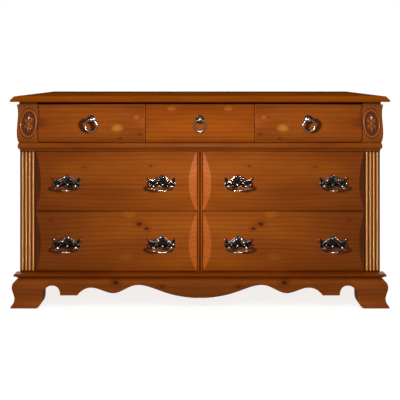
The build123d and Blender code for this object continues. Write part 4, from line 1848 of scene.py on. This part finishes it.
def wood_finishes() -> dict[str, bpy.types.Material]:
    """Make every wood finish of the case and the drawer boxes.

    Returns:
        The materials by name.
    """
    apron_knots = (Knot(-0.376, 0.107, 0.010), Knot(-0.169, 0.090, 0.007, 0.5))
    top_knots = (Knot(-0.52, -0.09, 0.014), Knot(-0.16, 0.1, 0.011))
    end_knots = (Knot(0.36, -0.05, 0.013), Knot(0.66, 0.11, 0.016))
    back_knots = (Knot(0.3, 0.5, 0.016), Knot(-0.4, 0.35, 0.014))
    front_edge = -0.15
    # A glossy coat, plus painted shade and highlight from the stored relief.
    gloss_and_relief_light = {"coat": 0.7, "coat_rough": 0.1, "carved": True}
    raw = {
        "light": srgb(214, 172, 118),
        "middle": srgb(190, 142, 88),
        "dark": srgb(146, 98, 54),
        "knot_colour": srgb(96, 56, 26),
        "rough": 0.6,
        "coat": 0.0,
        "folded": False,
    }
    plans = (
        PineFinish("pine_top", Grain.FLAT_WIDE, 1.3, top_knots, coat=0.0, shine=0.0),
        PineFinish("pine_end", Grain.SIDE_UPRIGHT, 2.1, end_knots),
        PineFinish("pine_moulding", Grain.FRONT_WIDE, 3.2, ring_pitch=0.011),
        # Reeds: painted highlight on their fronts, painted shade on the flanks and the bed.
        PineFinish(
            "pine_reeded", Grain.FRONT_UPRIGHT, 4.9, ring_pitch=0.010, ridge=0.7, recess_shade=0.95, **gloss_and_relief_light
        ),
        # Corner blocks: painted shade in the carving's hollows and moat, painted highlight on the rim and
        # petals.
        PineFinish("pine_carved", Grain.FRONT_UPRIGHT, 5.6, ring_pitch=0.012, **gloss_and_relief_light),
        # Centre stile: painted shade in its groove.
        PineFinish(
            "pine_stile", Grain.FRONT_UPRIGHT, 4.4, ring_pitch=0.010, carved=True, ridge=0.0, recess_shade=0.95
        ),
        PineFinish("pine_apron", Grain.FRONT_WIDE, 6.1, apron_knots),
        PineFinish("pine_side", Grain.SIDE_DEEP, 7.7),
        PineFinish("back_board", Grain.FRONT_WIDE, 8.3, back_knots, **raw),
        PineFinish("inner_side", Grain.SIDE_DEEP, 9.2, **raw),
        PineFinish("inner_flat", Grain.FLAT_DEEP, 10.4, **raw),
        PineFinish("inner_wide", Grain.FRONT_WIDE, 11.5, **raw),
        # The front edges of the hidden case boards get painted shade where they show between the drawers.
        PineFinish("case_flat", Grain.FLAT_DEEP, 10.9, gap_shade_from=front_edge, **raw),
        PineFinish("case_side", Grain.SIDE_DEEP, 9.7, gap_shade_from=front_edge, **raw),
    )
    return {plan.name: plan.material() for plan in plans}


def front_finish(name: str, seed: float, knots: tuple[Knot, ...]) -> bpy.types.Material:
    """Make the finish of one kind of drawer front, which both halves share.

    Args:
        name: the kind of drawer.
        seed: number that sets its grain apart.
        knots: its knots.

    Returns:
        The material.
    """
    return PineFinish("pine_" + name, Grain.FRONT_WIDE, seed, knots).material()


FRONT_WOOD: dict[str, tuple[float, tuple[Knot, ...]]] = {
    "small_side": (
        12.0,
        (
            Knot(-0.371, 0.796, 0.012, 0.6, True),
            Knot(-0.286, 0.844, 0.006, 0.35, True),
            Knot(-0.2715, 0.768, 0.0045),
            Knot(-0.359, 0.749, 0.004, 0.7),
        ),
    ),
    "small_middle": (13.7, (Knot(-0.129, 0.8825, 0.009, 0.3, True),)),
    "upper": (17.1, (Knot(-0.2225, 0.624, 0.0045, 0.6), Knot(-0.52, 0.62, 0.008, 0.3))),
    "lower": (
        20.5,
        (
            Knot(-0.274, 0.362, 0.009),
            Knot(-0.240, 0.343, 0.007),
            Knot(-0.323, 0.403, 0.014, 0.2, True),
            Knot(-0.674, 0.378, 0.006, 0.35),
            Knot(-0.329, 0.215, 0.014, 0.15, True),
        ),
    ),
}
DRAWERS: dict[str, str] = {
    "small_left": "small_side",
    "small_middle": "small_middle",
    "small_right": "small_side",
    "upper_left": "upper",
    "upper_right": "upper",
    "lower_left": "lower",
    "lower_right": "lower",
}


def main() -> None:
    """Build the dresser's pieces in order."""
    logging.basicConfig(level=logging.INFO, format="%(name)s: %(message)s")
    rows = RowTool("even_row")
    beads = PathTool("bead_string")
    finishes = wood_finishes()
    brass = BrassFinish("antique_brass").material()
    CaseBody(finishes, rows).build()
    inner = (finishes["inner_side"], finishes["inner_flat"])
    bail_pull = BailPull(brass, beads)
    ring_pull = RingPull(brass, beads)
    fronts = {kind: front_finish(kind, seed, knots) for kind, (seed, knots) in FRONT_WOOD.items()}
    for name, kind in DRAWERS.items():
        row = Row.SMALL if name.startswith(Row.SMALL.value) else Row.LARGE
        Drawer(name, row, fronts[kind], inner, bail_pull, ring_pull).build()
    Studio().build()


if __name__ == "__main__":
    main()
